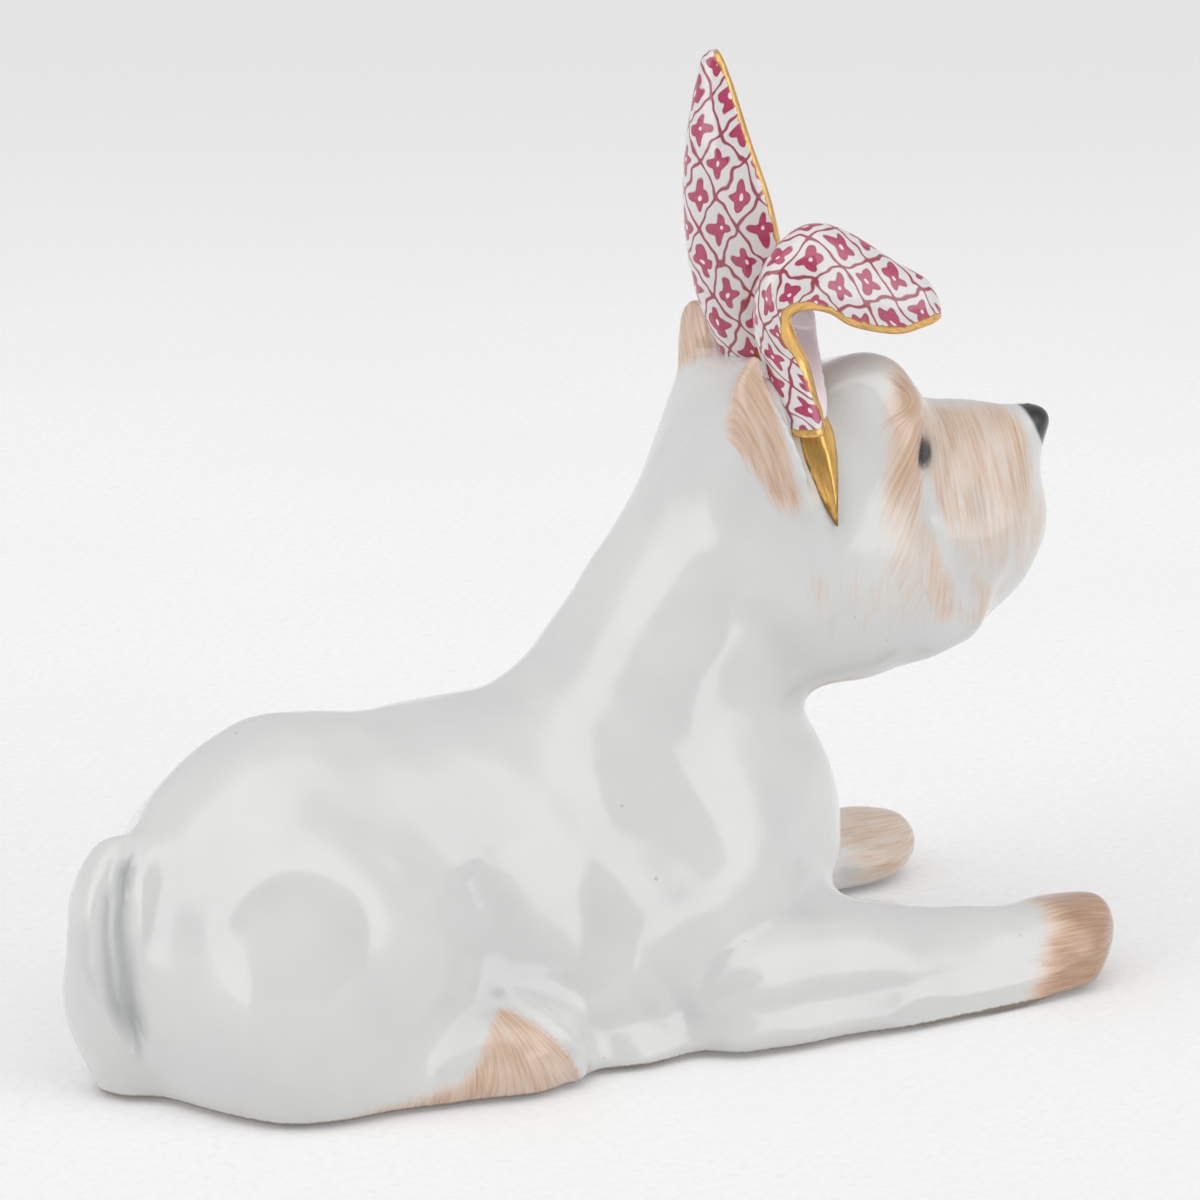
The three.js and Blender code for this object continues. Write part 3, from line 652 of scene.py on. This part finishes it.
def foot_fur(right, far):
    """The patches of fur on the paws and the hind feet, as for the head. The far paw is painted thinner."""
    x, y, z = right.T
    low_down = 1 - step(z, 11.0, 13.0)

    # A paw, painted from a slanting line to its toes, with strokes along it.
    edge = np.where(far, 33.2 - 0.25 * z, 31.4 + 0.65 * z)
    paw = low_down * step(x - edge, -1.4, 3.4) * step(-y, 6.0, 8.0)
    yield np.where(far, 0.72, 1.5) * paw, 4.5 * np.arctan2(z - 3.5, y + 15.5), -x

    # A hind foot, its strokes fanned from a point above it in front, and upright behind.
    crisp, faded = (np.interp(x, *np.transpose(line)) for line in (HIND_FOOT_EDGE, HIND_FOOT_FADE))
    foot = np.minimum(step(crisp - z, -0.1, 0.5), step(faded - z, -1.2, 1.2)) * step(-y, 12.5, 14.0)
    swing = 7.5 * np.arctan2(x + 15.2, 9.5 - z)
    yield 0.84 * low_down * foot * (x < -4.0), np.where(x > -15.2, swing, x + 15.2), z


def fur(points):
    """Where the tan fur is painted, and how its strokes run: which stroke, and how far down it, in mm."""
    patches = [*head_fur(to_right(to_head(points))), *foot_fur(to_right(points), points[:, 1] > 0)]
    masks, strokes, runs = (np.stack(values) for values in zip(*patches))
    best = np.argmax(masks, axis=0)
    at = np.arange(len(points))
    return masks[best, at], np.stack([strokes[best, at], runs[best, at], np.zeros(len(points))], axis=1)


class Nodes:
    """The nodes of a material or a world, built one on another."""

    def __init__(self, owner, shader):
        owner.use_nodes = True
        self.owner = owner
        self.tree = owner.node_tree
        self.shader = self.tree.nodes[shader]

    def node(self, kind, inputs=(), **options):
        """A node with its options set, and its inputs linked or set by name or number."""
        node = self.tree.nodes.new(kind)
        for option, value in options.items():
            setattr(node, option, value)
        for key, value in inputs.items() if isinstance(inputs, dict) else enumerate(inputs):
            self.feed(node.inputs[key], value)
        return node

    def feed(self, socket, value):
        """Links a socket to what feeds it, or sets it."""
        if isinstance(value, bpy.types.NodeSocket):
            self.tree.links.new(value, socket)
        else:
            socket.default_value = value

    def finish(self, inputs):
        """Feeds the shader by the names of its inputs, and gives the finished material or world."""
        for name, value in inputs.items():
            self.feed(self.shader.inputs[name], value)
        return self.owner

    def maths(self, operation, *values):
        """A sum done on numbers."""
        return self.node("ShaderNodeMath", values, operation=operation).outputs[0]

    def plus(self, one, other):
        """One number and another."""
        return self.maths("ADD", one, other)

    def minus(self, one, other):
        """One number less another."""
        return self.maths("SUBTRACT", one, other)

    def times(self, one, other):
        """One number times another."""
        return self.maths("MULTIPLY", one, other)

    def vector(self, operation, *values):
        """A sum done on vectors."""
        node = self.node("ShaderNodeVectorMath", values, operation=operation)
        return node.outputs["Value" if operation in ("LENGTH", "DOT_PRODUCT") else "Vector"]

    def split(self, vector):
        """The three numbers of a vector."""
        return self.node("ShaderNodeSeparateXYZ", [vector]).outputs

    def ramp(self, value, low, high, top=1.0):
        """A smooth rise from 0 to top between low and high."""
        inputs = {"Value": value, "From Min": low, "From Max": high, "To Max": top}
        return self.node("ShaderNodeMapRange", inputs, interpolation_type="SMOOTHSTEP").outputs[0]

    def blend(self, share, under, over):
        """One colour over another."""
        return self.node("ShaderNodeMix", {0: share, 6: under, 7: over}, data_type="RGBA").outputs[2]

    def noise(self, vector, scale, detail=2.0, roughness=0.5):
        """Soft noise from 0 to 1."""
        inputs = {"Vector": vector, "Scale": scale, "Detail": detail, "Roughness": roughness}
        return self.node("ShaderNodeTexNoise", inputs).outputs[0]

    def swing(self, noise, strength):
        """Noise made to swing to both sides of 0."""
        return self.times(self.minus(noise, 0.5), strength)


class Paint(Nodes):
    """A material."""

    def __init__(self, name):
        super().__init__(bpy.data.materials.new(name), "Principled BSDF")

    def attribute(self, name, output="Fac"):
        """A value painted on the mesh."""
        return self.node("ShaderNodeAttribute", attribute_name=name).outputs[output]

    def place(self):
        """Where a point lies, in millimetres."""
        coordinates = self.node("ShaderNodeTexCoord").outputs["Object"]
        return self.vector("MULTIPLY", coordinates, (1 / MM,) * 3)

    def bump(self, height, distance, strength):
        """Feeds a height to the shader as relief of so many millimetres."""
        inputs = {"Height": height, "Strength": strength, "Distance": distance * MM}
        self.feed(self.shader.inputs["Normal"], self.node("ShaderNodeBump", inputs).outputs[0])


def rgba(values, share=1.0):
    """A colour with its alpha, made lighter or darker by a share, or by one for each channel."""
    return (*np.multiply(values, share).tolist(), 1.0)


def spot(paint, place, shape, side, ragged):
    """A painted spot of the head: 1 inside a ball of three radii and 0 outside it."""
    middle, radii, soft = shape
    arm = paint.vector("SUBTRACT", place, tuple(from_head(np.array(middle) * (1, side, 1))))
    turned = paint.node("ShaderNodeVectorRotate", {"Vector": arm, "Angle": -HEAD_TURN},
                        rotation_type="Z_AXIS").outputs[0]
    away = paint.vector("LENGTH", paint.vector("DIVIDE", turned, radii))
    away = paint.plus(away, paint.swing(ragged, 0.35))
    return paint.minus(1.0, paint.ramp(away, 1.0 - soft, 1.0 + soft))


def painted_fur(paint, white):
    """Tan fur over the white, and how high its brush strokes stand."""
    tones = bpy.context.scene.terrier_glaze
    mask = paint.attribute("fur")
    stroke = paint.attribute("stroke", "Vector")
    marks, thick = [], mask
    for size, roughness, strength in BRUSH_MARKS:
        marks.append(paint.noise(paint.vector("MULTIPLY", stroke, size), 1.0, 2.0, roughness))
        thick = paint.plus(thick, paint.swing(marks[-1], strength))
    hairs, locks, patchy = marks
    covered = paint.times(paint.ramp(thick, 0.05, 1.1, 0.97), paint.ramp(mask, 0.03, 0.3))
    deep = paint.plus(paint.times(patchy, 0.35), paint.times(hairs, 0.75))
    deep = paint.plus(deep, paint.times(mask, 0.4))
    tan = paint.blend(paint.ramp(deep, 0.72, 1.32), rgba(tones.tan), rgba(tones.deep_tan))
    furry = paint.maths("MINIMUM", paint.times(mask, 1.8), 1.0)
    return paint.blend(covered, white, tan), paint.times(furry, paint.times(locks, 2.4))


def body_glaze():
    """White glaze with tan fur, a black nose and black eyes under it."""
    tones = bpy.context.scene.terrier_glaze
    paint = Paint("white_glaze")
    place = paint.place()
    mottle = paint.noise(place, 0.12)
    white = paint.blend(paint.ramp(mottle, 0.35, 0.7), rgba(tones.white), rgba(tones.white, COOLER))
    # Painted shade: creases and hollows darkened grey-blue, in the creases partly for glaze pooled there.
    white = paint.blend(paint.attribute("pool"), white, rgba(tones.pool))
    coloured, strokes = painted_fur(paint, white)

    speck = paint.ramp(paint.noise(place, 1.1), 0.765, 0.8, 0.5)
    coloured = paint.blend(speck, coloured, rgba(tones.white, ASH))
    brush = paint.noise(place, 2.2, 3.0, 0.6)
    coat = GLOSS
    for side in BOTH:
        eye = spot(paint, place, EYE, side, brush)
        coloured = paint.blend(eye, coloured, rgba(tones.black))
        coat = paint.minus(coat, paint.times(eye, 0.8 * GLOSS))
        shadow = spot(paint, place, EYE_SHADOW, side, brush)
        coloured = paint.blend(paint.times(shadow, 0.35), coloured, rgba(tones.black, 3.0))
    coloured = paint.blend(spot(paint, place, NOSE, 1, mottle), coloured, rgba(tones.black))
    # Painted contact shadow over the unglazed foot: brown below a ragged line about 0.8 mm above the table.
    height = paint.plus(paint.split(place)[2], paint.times(brush, 0.3))
    coloured = paint.blend(paint.ramp(height, 0.95, 0.74), coloured, rgba(tones.foot_rim_and_contact_shadow))
    paint.bump(paint.plus(paint.noise(place, 0.35), strokes), 0.2, 0.25)
    return paint.finish({**GLAZE, "Base Color": coloured, "Coat Weight": coat})


def rim_distance(head_points):
    """How far each point lies from the rims of the dog's own ears."""
    nearest = np.full(len(head_points), FAR_OFF)
    for side, set_back in ((1, LEFT_EAR_SET_BACK), (-1, 0.0)):
        for rim in DOG_EAR_RIMS:
            path = [(x - set_back, side * y, z) for x, y, z in rim]
            nearest = np.minimum(nearest, nearness(head_points, path)[0])
    return nearest


class TERRIER_OT_glazed_body(bpy.types.Operator):
    """Models and paints the body, head, limbs, tail and the dog's own ears as one glazed skin"""
    bl_idname = "terrier.glazed_body"
    bl_label = "Glazed body"

    def execute(self, context):
        sizes = context.scene.terrier_clay
        clay = Clay(clay_blank(sizes.voxel * MM, sizes.spare * MM))
        clay.swell(-sizes.spare)
        head_points = to_head(clay.points)
        off_rims = step(rim_distance(head_points), sizes.rim_guard * 0.5, sizes.rim_guard * 1.6)
        share = sizes.give * (0.06 + 0.94 * off_rims)
        for side, middle, reach in KEPT:
            share *= 1 - 0.75 * bell(away_from(head_points, middle, side), reach)
        clay.relax(sizes.rounds, share)
        clay.push(PUSHES)
        clay.flatten(FACETS)
        clay.undulate(sizes.uneven * off_rims)
        clay.soften(PUSHED_ROUNDS, 0.5 * off_rims)
        clay.soften(SEAM_ROUNDS, 0.8 * clay.nearby(SMOOTHED))
        clay.square_foot(FOOT)
        grooves = clay.carve(MARKS)
        clay.soften(CARVED_ROUNDS, 0.5 * off_rims)
        low, high = np.array(CAD_BOX) / MM
        clay.points = np.clip(clay.points, low, high)
        clay.write()
        masks, strokes = fur(clay.points)
        clay.paint("fur", masks)
        clay.paint("stroke", strokes)
        # How much painted shade each point gets: creases and narrow grooves, partly for pooled glaze, and
        # broad hollows such as under the jaw, shade only.
        creases = np.maximum(step(clay.hollowness(CREASE_ROUNDS), 0.02, 0.25), 1.3 * grooves)
        hollows = step(clay.hollowness(HOLLOW_ROUNDS), 0.1, 0.9)
        clay.paint("pool", np.maximum(0.5 * creases, 0.25 * hollows))
        clay.mesh.name = "glazed_body"
        add_piece("glazed_body", clay.mesh, body_glaze(), CASTINGS)
        return {"FINISHED"}


def gold_finish(paint, leaf):
    """Burnished gold with brush marks along it: its colour, and how rough it is."""
    gold = bpy.context.scene.terrier_glaze.gold
    worn = paint.noise(paint.vector("MULTIPLY", leaf, (2.4, 0.3, 2.4)), 1.0, 3.0, 0.6)
    tone = paint.blend(paint.ramp(worn, 0.35, 0.75), rgba(gold), rgba(gold, 0.62))
    return tone, paint.plus(0.27, paint.ramp(worn, 0.3, 0.8, 0.18))


def band_gold():
    """The headband's gold, dark along its edges."""
    paint = Paint("burnished_gold")
    leaf = paint.attribute("leaf", "Vector")
    tone, rough = gold_finish(paint, leaf)
    edge = paint.minus(paint.split(leaf)[2], paint.ramp(paint.noise(leaf, 1.1, 3.0), 0.3, 0.8, 0.3))
    dark = paint.ramp(edge, 0.32, 0.02, 0.8)
    tone = paint.blend(dark, tone, rgba(bpy.context.scene.terrier_glaze.bronze))
    paint.bump(paint.noise(paint.vector("MULTIPLY", leaf, (1.6, 0.3, 1.6)), 1.0, 3.0), 0.1, 0.6)
    return paint.finish({"Base Color": tone, "Metallic": 1.0, "Roughness": rough})


def lattice_ways(paint, leaf, sizes):
    """The two ways across the lattice, counted in diamonds, with the drift of a hand in them."""
    hand = paint.node("ShaderNodeTexNoise", {"Vector": leaf, "Scale": 0.42, "Detail": 1.0}).outputs[1]
    drift = paint.vector("MULTIPLY", paint.vector("SUBTRACT", hand, (0.5, 0.5, 0.5)), (1.5, 1.5, 0.0))
    across, along, _ = paint.split(paint.vector("ADD", leaf, drift))
    one = paint.maths("DIVIDE", across, sizes.mesh_width)
    other = paint.maths("DIVIDE", along, sizes.mesh_height)
    return paint.plus(one, other), paint.minus(one, other)


def lattice_lines(paint, leaf, ways, sizes):
    """1 on the lattice's lines, which are as wide as the brush was pressed."""
    steepness = math.hypot(1 / sizes.mesh_width, 1 / sizes.mesh_height)
    to_lines = [paint.maths("PINGPONG", way, 0.5) for way in ways]
    away = paint.maths("DIVIDE", paint.maths("SMOOTH_MIN", *to_lines, 0.09), steepness)
    pressure = paint.times(paint.noise(leaf, 0.8), 0.56 * sizes.line)
    return paint.ramp(paint.minus(away, paint.plus(0.22 * sizes.line, pressure)), 0.05, -0.05)


def blossoms(paint, ways, sizes):
    """A blossom of four petals in each diamond: where it is filled, its outline and its heart."""
    cell = [paint.minus(paint.maths("FRACT", way), 0.5) for way in ways]
    aside = paint.times(paint.plus(*cell), 0.5 * sizes.mesh_width)
    up = paint.times(paint.minus(*cell), 0.39 * sizes.mesh_height)
    radius = paint.vector("LENGTH", paint.node("ShaderNodeCombineXYZ", [aside, up]).outputs[0])
    petals = paint.maths("COSINE", paint.times(paint.maths("ARCTAN2", up, aside), 4.0))
    reach = paint.times(paint.plus(0.76, paint.times(petals, 0.24)), sizes.blossom)
    inside = paint.minus(reach, radius)
    outline = paint.ramp(paint.maths("ABSOLUTE", inside), 0.12, 0.03, 0.75)
    return paint.ramp(inside, -0.05, 0.05), outline, paint.ramp(radius, 0.2, 0.12)


def lattice_glaze():
    """Raspberry lattice with a blossom in each diamond, a rose inside and a gilded rim."""
    tones = bpy.context.scene.terrier_glaze
    sizes = bpy.context.scene.terrier_ears
    raspberry, rose = rgba(tones.raspberry), rgba(tones.rose)
    paint = Paint("raspberry_glaze")
    leaf = paint.attribute("leaf", "Vector")
    back = paint.ramp(paint.split(leaf)[2], -0.2, 0.1)
    ground = paint.blend(back, rose, rgba(tones.white, EAR_BACK))
    watery = paint.ramp(paint.noise(leaf, 1.7, 3.0), 0.3, 0.75, 0.55)
    wash = paint.blend(watery, rgba(tones.wash), raspberry)
    ways = lattice_ways(paint, leaf, sizes)
    petals, outline, heart = blossoms(paint, ways, sizes)
    lines = lattice_lines(paint, leaf, ways, sizes)
    drawn = paint.blend(paint.times(petals, 0.96), ground, wash)
    drawn = paint.blend(outline, drawn, raspberry)
    drawn = paint.blend(heart, drawn, rose)
    drawn = paint.blend(paint.times(lines, 0.93), drawn, raspberry)
    painted = paint.blend(back, ground, drawn)

    gilding = paint.plus(paint.attribute("gilding"), paint.swing(paint.noise(leaf, 1.3, 3.0), 0.5))
    gold = paint.ramp(gilding, -0.03, 0.03)
    rusty = paint.ramp(paint.maths("ABSOLUTE", gilding), 0.14, 0.02, 0.75)
    tone, rough = gold_finish(paint, leaf)
    painted = paint.blend(gold, painted, tone)
    painted = paint.blend(paint.times(rusty, gold), painted, rgba(tones.bronze))
    rough = paint.node("ShaderNodeMix", {0: gold, 2: 0.09, 3: rough}, data_type="FLOAT").outputs[0]
    paint.bump(paint.noise(leaf, 0.5), 0.2, 0.3)
    return paint.finish({**GLAZE, "Base Color": painted, "Metallic": gold, "Roughness": rough})


def smooth_rows(stations, rows):
    """An ear's sections at even steps along its back, on smooth lines through its stations.

    Gives (sections, how far along the back each one is)."""
    knots = np.array(stations, dtype=float)
    padded = np.concatenate([2 * knots[:1] - knots[1:2], knots, 2 * knots[-1:] - knots[-2:-1]])
    share = np.linspace(0, 1, 16, endpoint=False)[:, None, None]
    runs = []
    for a, b, c, d in zip(padded, padded[1:], padded[2:], padded[3:]):
        runs.append(0.5 * (2 * b + (c - a) * share + (2 * a - 5 * b + 4 * c - d) * share ** 2
                           + (3 * b - a - 3 * c + d) * share ** 3))
    fine = np.concatenate([*runs, knots[-1:]])
    run = np.concatenate([[0.0], np.cumsum(np.linalg.norm(np.diff(fine[:, 0], axis=0), axis=1))])
    at = np.linspace(0.0, run[-1], rows)
    sections = np.stack([[np.interp(at, run, fine[:, line, axis]) for axis in range(3)] for line in range(3)])
    return sections.transpose(2, 0, 1), at


def leaf_ring(half_width, depth, wall):
    """The closed outline of a cupped leaf of clay, row by row, from the middle of its inside round to there.

    Gives (across, deep, how far over the back, how far from the rim), in mm."""
    half_width, depth, wall = (np.asarray(size)[:, None] for size in (half_width, depth, wall))
    inner = np.linspace(0, math.pi / 2, INSIDE_COLUMNS)[None, :]
    lip = np.linspace(0, math.pi, LIP_COLUMNS)[None, 1:-1]
    outer = np.linspace(math.pi / 2, -math.pi / 2, BACK_COLUMNS)[None, :]
    inside = ((half_width - wall) * np.sin(inner), (depth - wall) * np.cos(inner))
    lips = (half_width - wall / 2 - wall / 2 * np.cos(lip), -wall / 2 * np.sin(lip))
    outside = (half_width * np.sin(outer), depth * np.cos(outer))
    across = np.concatenate([inside[0], lips[0], outside[0], -lips[0][:, ::-1], -inside[0][:, ::-1]], axis=1)
    deep = np.concatenate([inside[1], lips[1], outside[1], lips[1][:, ::-1], inside[1][:, ::-1]], axis=1)
    steps = np.hypot(np.diff(across, axis=1), np.diff(deep, axis=1))
    run = np.concatenate([np.zeros_like(half_width), np.cumsum(steps, axis=1)], axis=1)
    middle = run[:, run.shape[1] // 2][:, None]
    crest = run[:, INSIDE_COLUMNS + LIP_COLUMNS // 2 - 1][:, None]
    rim = np.minimum(run - crest, 2 * middle - crest - run)
    return across, deep, run - middle, rim


def closed_tube(name, places, layers):
    """A closed skin over rows of rings.

    The first and the last place of a row are one, and so are all places of the first row and of the last."""
    rows, ring = places.shape[:2]
    leaf = bmesh.new()
    bmesh.ops.create_grid(leaf, x_segments=ring - 1, y_segments=rows - 1, size=1.0)
    kinds = leaf.verts.layers
    kept = {key: (kinds.float_vector if value.ndim == 3 else kinds.float).new(key)
            for key, value in layers.items()}
    for vert in leaf.verts:
        column = round((vert.co.x + 1) / 2 * (ring - 1))
        row = round((vert.co.y + 1) / 2 * (rows - 1))
        for key, value in layers.items():
            vert[kept[key]] = value[row, column]
        vert.co = places[row, column] * MM
    bmesh.ops.remove_doubles(leaf, verts=leaf.verts, dist=WELD)
    bmesh.ops.recalc_face_normals(leaf, faces=leaf.faces)
    return as_mesh(name, leaf)


def rabbit_ear(name, stations, gilt, blunt):
    """An ear pinched from a sheet of clay, with a rounded lip and a tip rounded over its last few mm."""
    sizes = bpy.context.scene.terrier_ears
    sections, at = smooth_rows(stations, EAR_ROWS)
    inward = np.array(SKULL) - sections[0].mean(axis=0)
    root = sections[0] + inward / np.linalg.norm(inward) * sizes.root
    sections = np.concatenate([root[None], sections])
    at = np.concatenate([[-sizes.root], at])
    back, rim, other = sections.transpose(1, 0, 2)
    middle = (rim + other) / 2
    across_way, deep_way = other - middle, back - middle
    half_width, depth = np.linalg.norm(across_way, axis=1), np.linalg.norm(deep_way, axis=1)
    narrow = np.minimum(half_width, depth)
    # Nearly solid at the foot, and a thin sheet from 3.2 mm on.
    foot = 1 - step(at, 1.2, 3.2)
    wall = foot * 0.94 * narrow + (1 - foot) * np.minimum(sizes.wall, 0.7 * narrow)
    across, deep, over, from_rim = leaf_ring(half_width, depth, wall)
    end = at[-1]
    dome = np.sqrt(np.clip(1 - np.clip((at - end + blunt) / blunt, 0, 1) ** 2, 0, 1))
    dome[0] = 0.0
    places = (middle[:, None] + (dome * across.T).T[..., None] * (across_way / half_width[:, None])[:, None]
              + (dome * deep.T).T[..., None] * (deep_way / depth[:, None])[:, None])
    along = np.broadcast_to(at[:, None], over.shape)
    leaf = np.stack([over, along, from_rim], axis=2)
    gilding = gilt(over, along, from_rim)
    return closed_tube(name, from_head(places), {"leaf": leaf, "gilding": gilding})


def upright_gilt(over, along, from_rim):
    """Gold along both rims of the upright ear."""
    outside = 1.0 + 0.3 * step(along, 27.0, 33.0)
    return np.where(from_rim > 0, outside - from_rim, 0.6 + from_rim)


def folded_gilt(over, along, from_rim):
    """Gold along both rims of the folded ear, broad round its bend."""
    outside = np.interp(along, (0.0, 3.0, 7.5, 10.5, 14.0, 20.0), (0.4, 0.5, 1.1, 1.9, 1.5, 1.15))
    inside = np.where(over > 0, 0.6, -0.2)
    return np.maximum(0.8 - along, np.where(from_rim > 0, outside - from_rim, inside + from_rim))


class TERRIER_OT_rabbit_ears(bpy.types.Operator):
    """Pinches and paints the upright ear and the folded ear"""
    bl_idname = "terrier.rabbit_ears"
    bl_label = "Rabbit ears"

    def execute(self, context):
        glaze = lattice_glaze()
        ears = (("upright", UPRIGHT_EAR, upright_gilt, 1.2), ("folded", FOLDED_EAR, folded_gilt, 2.2))
        for name, stations, gilt, blunt in ears:
            mesh = rabbit_ear("painted_ear_" + name, stations, gilt, blunt)
            add_piece("painted_ear_" + name, mesh, glaze, ("rabbit_ear_" + name,))
        return {"FINISHED"}


class TERRIER_OT_headband(bpy.types.Operator):
    """Lays the gilded hoop over the head"""
    bl_idname = "terrier.headband"
    bl_label = "Headband"

    def execute(self, context):
        sizes = context.scene.terrier_band
        skull = bmesh.new()
        skull.from_mesh(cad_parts["head"].data)
        tree = BVHTree.FromBMesh(skull)
        skull.free()
        turns = np.linspace(-1, 1, HOOP_ROWS)
        over = np.concatenate([np.linspace(-1, 1, TOP_COLUMNS), np.linspace(1, -1, UNDER_COLUMNS)[1:]])
        under = np.arange(len(over)) >= TOP_COLUMNS
        places = np.zeros((len(turns), len(over), 3))
        leaf = np.zeros_like(places)
        for row, turn in enumerate(turns):
            angle = turn * sizes.span
            taper = max(0.0, (abs(angle) - sizes.shoulder) / (sizes.span - sizes.shoulder))
            half_width = sizes.half_width + (POINT_HALF_WIDTH - sizes.half_width) * taper ** 1.5
            ridge = 0.45 * step(abs(angle), sizes.shoulder - 0.3, sizes.span)
            rise = sizes.rise + (sizes.edge - sizes.rise) * taper ** 2
            x = sizes.place + (sizes.point_place - sizes.place) * abs(turn) ** 3
            outward = np.array([0.0, -math.sin(angle), math.cos(angle)])
            way = Vector(outward @ HEAD_AXES)
            for column, share in enumerate(over):
                start = Vector(from_head(np.array([x + share * half_width, 0.0, 0.0]))) * MM
                hit = tree.ray_cast(start + way * (OFF_SKULL * MM), -way)[0]
                if hit is None:
                    raise RuntimeError("the headband misses the head")
                lean = (share - ridge) / (1 - ridge if share > ridge else 1 + ridge)
                roof = (rise - sizes.edge) * (1 - math.sqrt(lean ** 2 + RIDGE_ROUNDNESS)) * 1.06
                height = sizes.edge * (1 - share ** 8) + roof
                if under[column] or abs(share) == 1:
                    height = HOOP_SUNK
                places[row, column] = np.array(hit) / MM + np.array(way) * height
                leaf[row, column] = share * half_width, angle * SKULL_RADIUS, (1 - abs(share)) * half_width
        places[0], places[-1] = places[0, TOP_COLUMNS // 2], places[-1, TOP_COLUMNS // 2]
        mesh = closed_tube("gilded_headband", places, {"leaf": leaf})
        add_piece("gilded_headband", mesh, band_gold(), ("headband",))
        return {"FINISHED"}


def floor_cloth(inward):
    """White felt, with painted shade that darkens it towards the back of the tent."""
    paint = Paint("floor_cloth")
    place = paint.place()
    tone = paint.blend(paint.ramp(paint.noise(place, 1.2, 4.0), 0.3, 0.8), rgba(FELT), rgba(FELT_PILE))
    tone = paint.blend(paint.ramp(paint.noise(place, 0.02, 3.0), 0.35, 0.7, 0.4), tone, rgba(FELT_WORN))
    # Painted shade: the felt darkens between 120 and 420 mm from the middle, towards the back of the tent.
    depth = paint.vector("DOT_PRODUCT", place, tuple(inward))
    tone = paint.blend(paint.ramp(depth, 120.0, 420.0), tone, rgba(FELT_SHADE_FAR))
    rays = paint.node("ShaderNodeLightPath").outputs
    seen = paint.maths("MAXIMUM", rays["Is Glossy Ray"], rays["Is Transmission Ray"])
    seen = paint.maths("MAXIMUM", rays["Is Camera Ray"], seen)
    return paint.finish({"Base Color": tone, "Roughness": 1.0, "Specular IOR Level": 0.0,
                         "Emission Color": rgba((1.0, 1.0, 1.0)),
                         "Emission Strength": paint.times(seen, FELT_GLOW)})


def light_tent(opening):
    """A bright tent with a dim opening on one side, and a dimmer roof."""
    tent = Nodes(bpy.data.worlds.new("light_tent"), "Background")
    way = tent.node("ShaderNodeTexCoord").outputs["Generated"]
    facing = tent.vector("DOT_PRODUCT", way, tuple(opening))
    sag = tent.maths("MULTIPLY_ADD", tent.noise(way, 3.0, 1.0), 0.22, facing)
    walls = tent.node("ShaderNodeValToRGB", [sag])
    bands = walls.color_ramp.elements
    bands.remove(bands[1])
    bands[0].position, bands[0].color = TENT_TONES[0][0], rgba(TENT_TONES[0][1])
    for share, tone in TENT_TONES[1:]:
        bands.new(share).color = rgba(tone)
    roof = tent.node("ShaderNodeMapRange", {"Value": tent.split(way)[2], "To Min": 1.1, "To Max": 0.66})
    dimmed = tent.node("ShaderNodeVectorMath", {0: walls.outputs[0]}, operation="SCALE")
    tent.feed(dimmed.inputs["Scale"], roof.outputs[0])
    return tent.finish({"Color": dimmed.outputs[0], "Strength": TENT_BRIGHTNESS})


class TERRIER_OT_stage(bpy.types.Operator):
    """Sets the camera, the pale floor, the tent and the soft lamp"""
    bl_idname = "terrier.stage"
    bl_label = "Stage"

    def execute(self, context):
        scene = context.scene
        stage = scene.terrier_stage
        target = Vector(stage.target) * MM
        back = Vector((
            math.sin(stage.azimuth) * math.cos(stage.elevation),
            -math.cos(stage.azimuth) * math.cos(stage.elevation),
            math.sin(stage.elevation),
        ))
        camera = placed("camera", bpy.data.cameras.new("camera"))
        camera.data.lens = stage.lens
        camera.data.clip_start = 0.01
        camera.location = target + back * stage.distance * MM
        look_along(camera, -back)
        scene.camera = camera

        cloth = bmesh.new()
        bmesh.ops.create_grid(cloth, x_segments=1, y_segments=1, size=FLOOR_HALF)
        floor = placed("floor", as_mesh("floor", cloth))
        floor.data.materials.append(floor_cloth(Vector((-back.x, -back.y, 0)).normalized()))
        floor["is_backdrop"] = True
        scene.world = light_tent(back)

        lamp = bpy.data.lights.new("lamp_above", "AREA")
        lamp.shape = "SQUARE"
        lamp.size = LAMP_SIZE
        lamp.energy = LAMP_RADIANCE * stage.lamp * math.pi * LAMP_SIZE ** 2
        holder = placed("lamp_above", lamp)
        holder.location = LAMP_PLACE
        look_along(holder, target - Vector(LAMP_PLACE))
        scene.view_settings.view_transform = "Standard"
        return {"FINISHED"}


class TERRIER_PT_panel(bpy.types.Panel):
    """Lists the pieces of the figurine"""
    bl_idname = "TERRIER_PT_panel"
    bl_label = "Porcelain terrier"
    bl_space_type = "VIEW_3D"
    bl_region_type = "UI"
    bl_category = "Terrier"

    def draw(self, context):
        for operator in OPERATORS:
            self.layout.operator(operator.bl_idname)


GROUPS = (
    ("terrier_clay", ClaySettings), ("terrier_ears", EarSettings), ("terrier_band", BandSettings),
    ("terrier_glaze", GlazeSettings), ("terrier_stage", StageSettings),
)
OPERATORS = (TERRIER_OT_glazed_body, TERRIER_OT_headband, TERRIER_OT_rabbit_ears, TERRIER_OT_stage)


def register():
    for name, group in GROUPS:
        bpy.utils.register_class(group)
        setattr(bpy.types.Scene, name, PointerProperty(type=group))
    for operator in OPERATORS:
        bpy.utils.register_class(operator)
    bpy.utils.register_class(TERRIER_PT_panel)


def unregister():
    bpy.utils.unregister_class(TERRIER_PT_panel)
    for operator in reversed(OPERATORS):
        bpy.utils.unregister_class(operator)
    for name, group in reversed(GROUPS):
        delattr(bpy.types.Scene, name)
        bpy.utils.unregister_class(group)


def main():
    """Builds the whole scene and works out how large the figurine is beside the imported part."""
    register()
    bpy.ops.terrier.glazed_body()
    bpy.ops.terrier.headband()
    bpy.ops.terrier.rabbit_ears()
    bpy.ops.terrier.stage()
    boxes = {"cad": CAD_BOX, "visual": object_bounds()}
    {name: [list(corner) for corner in box] for name, box in boxes.items()}


if __name__ == "__main__":
    main()
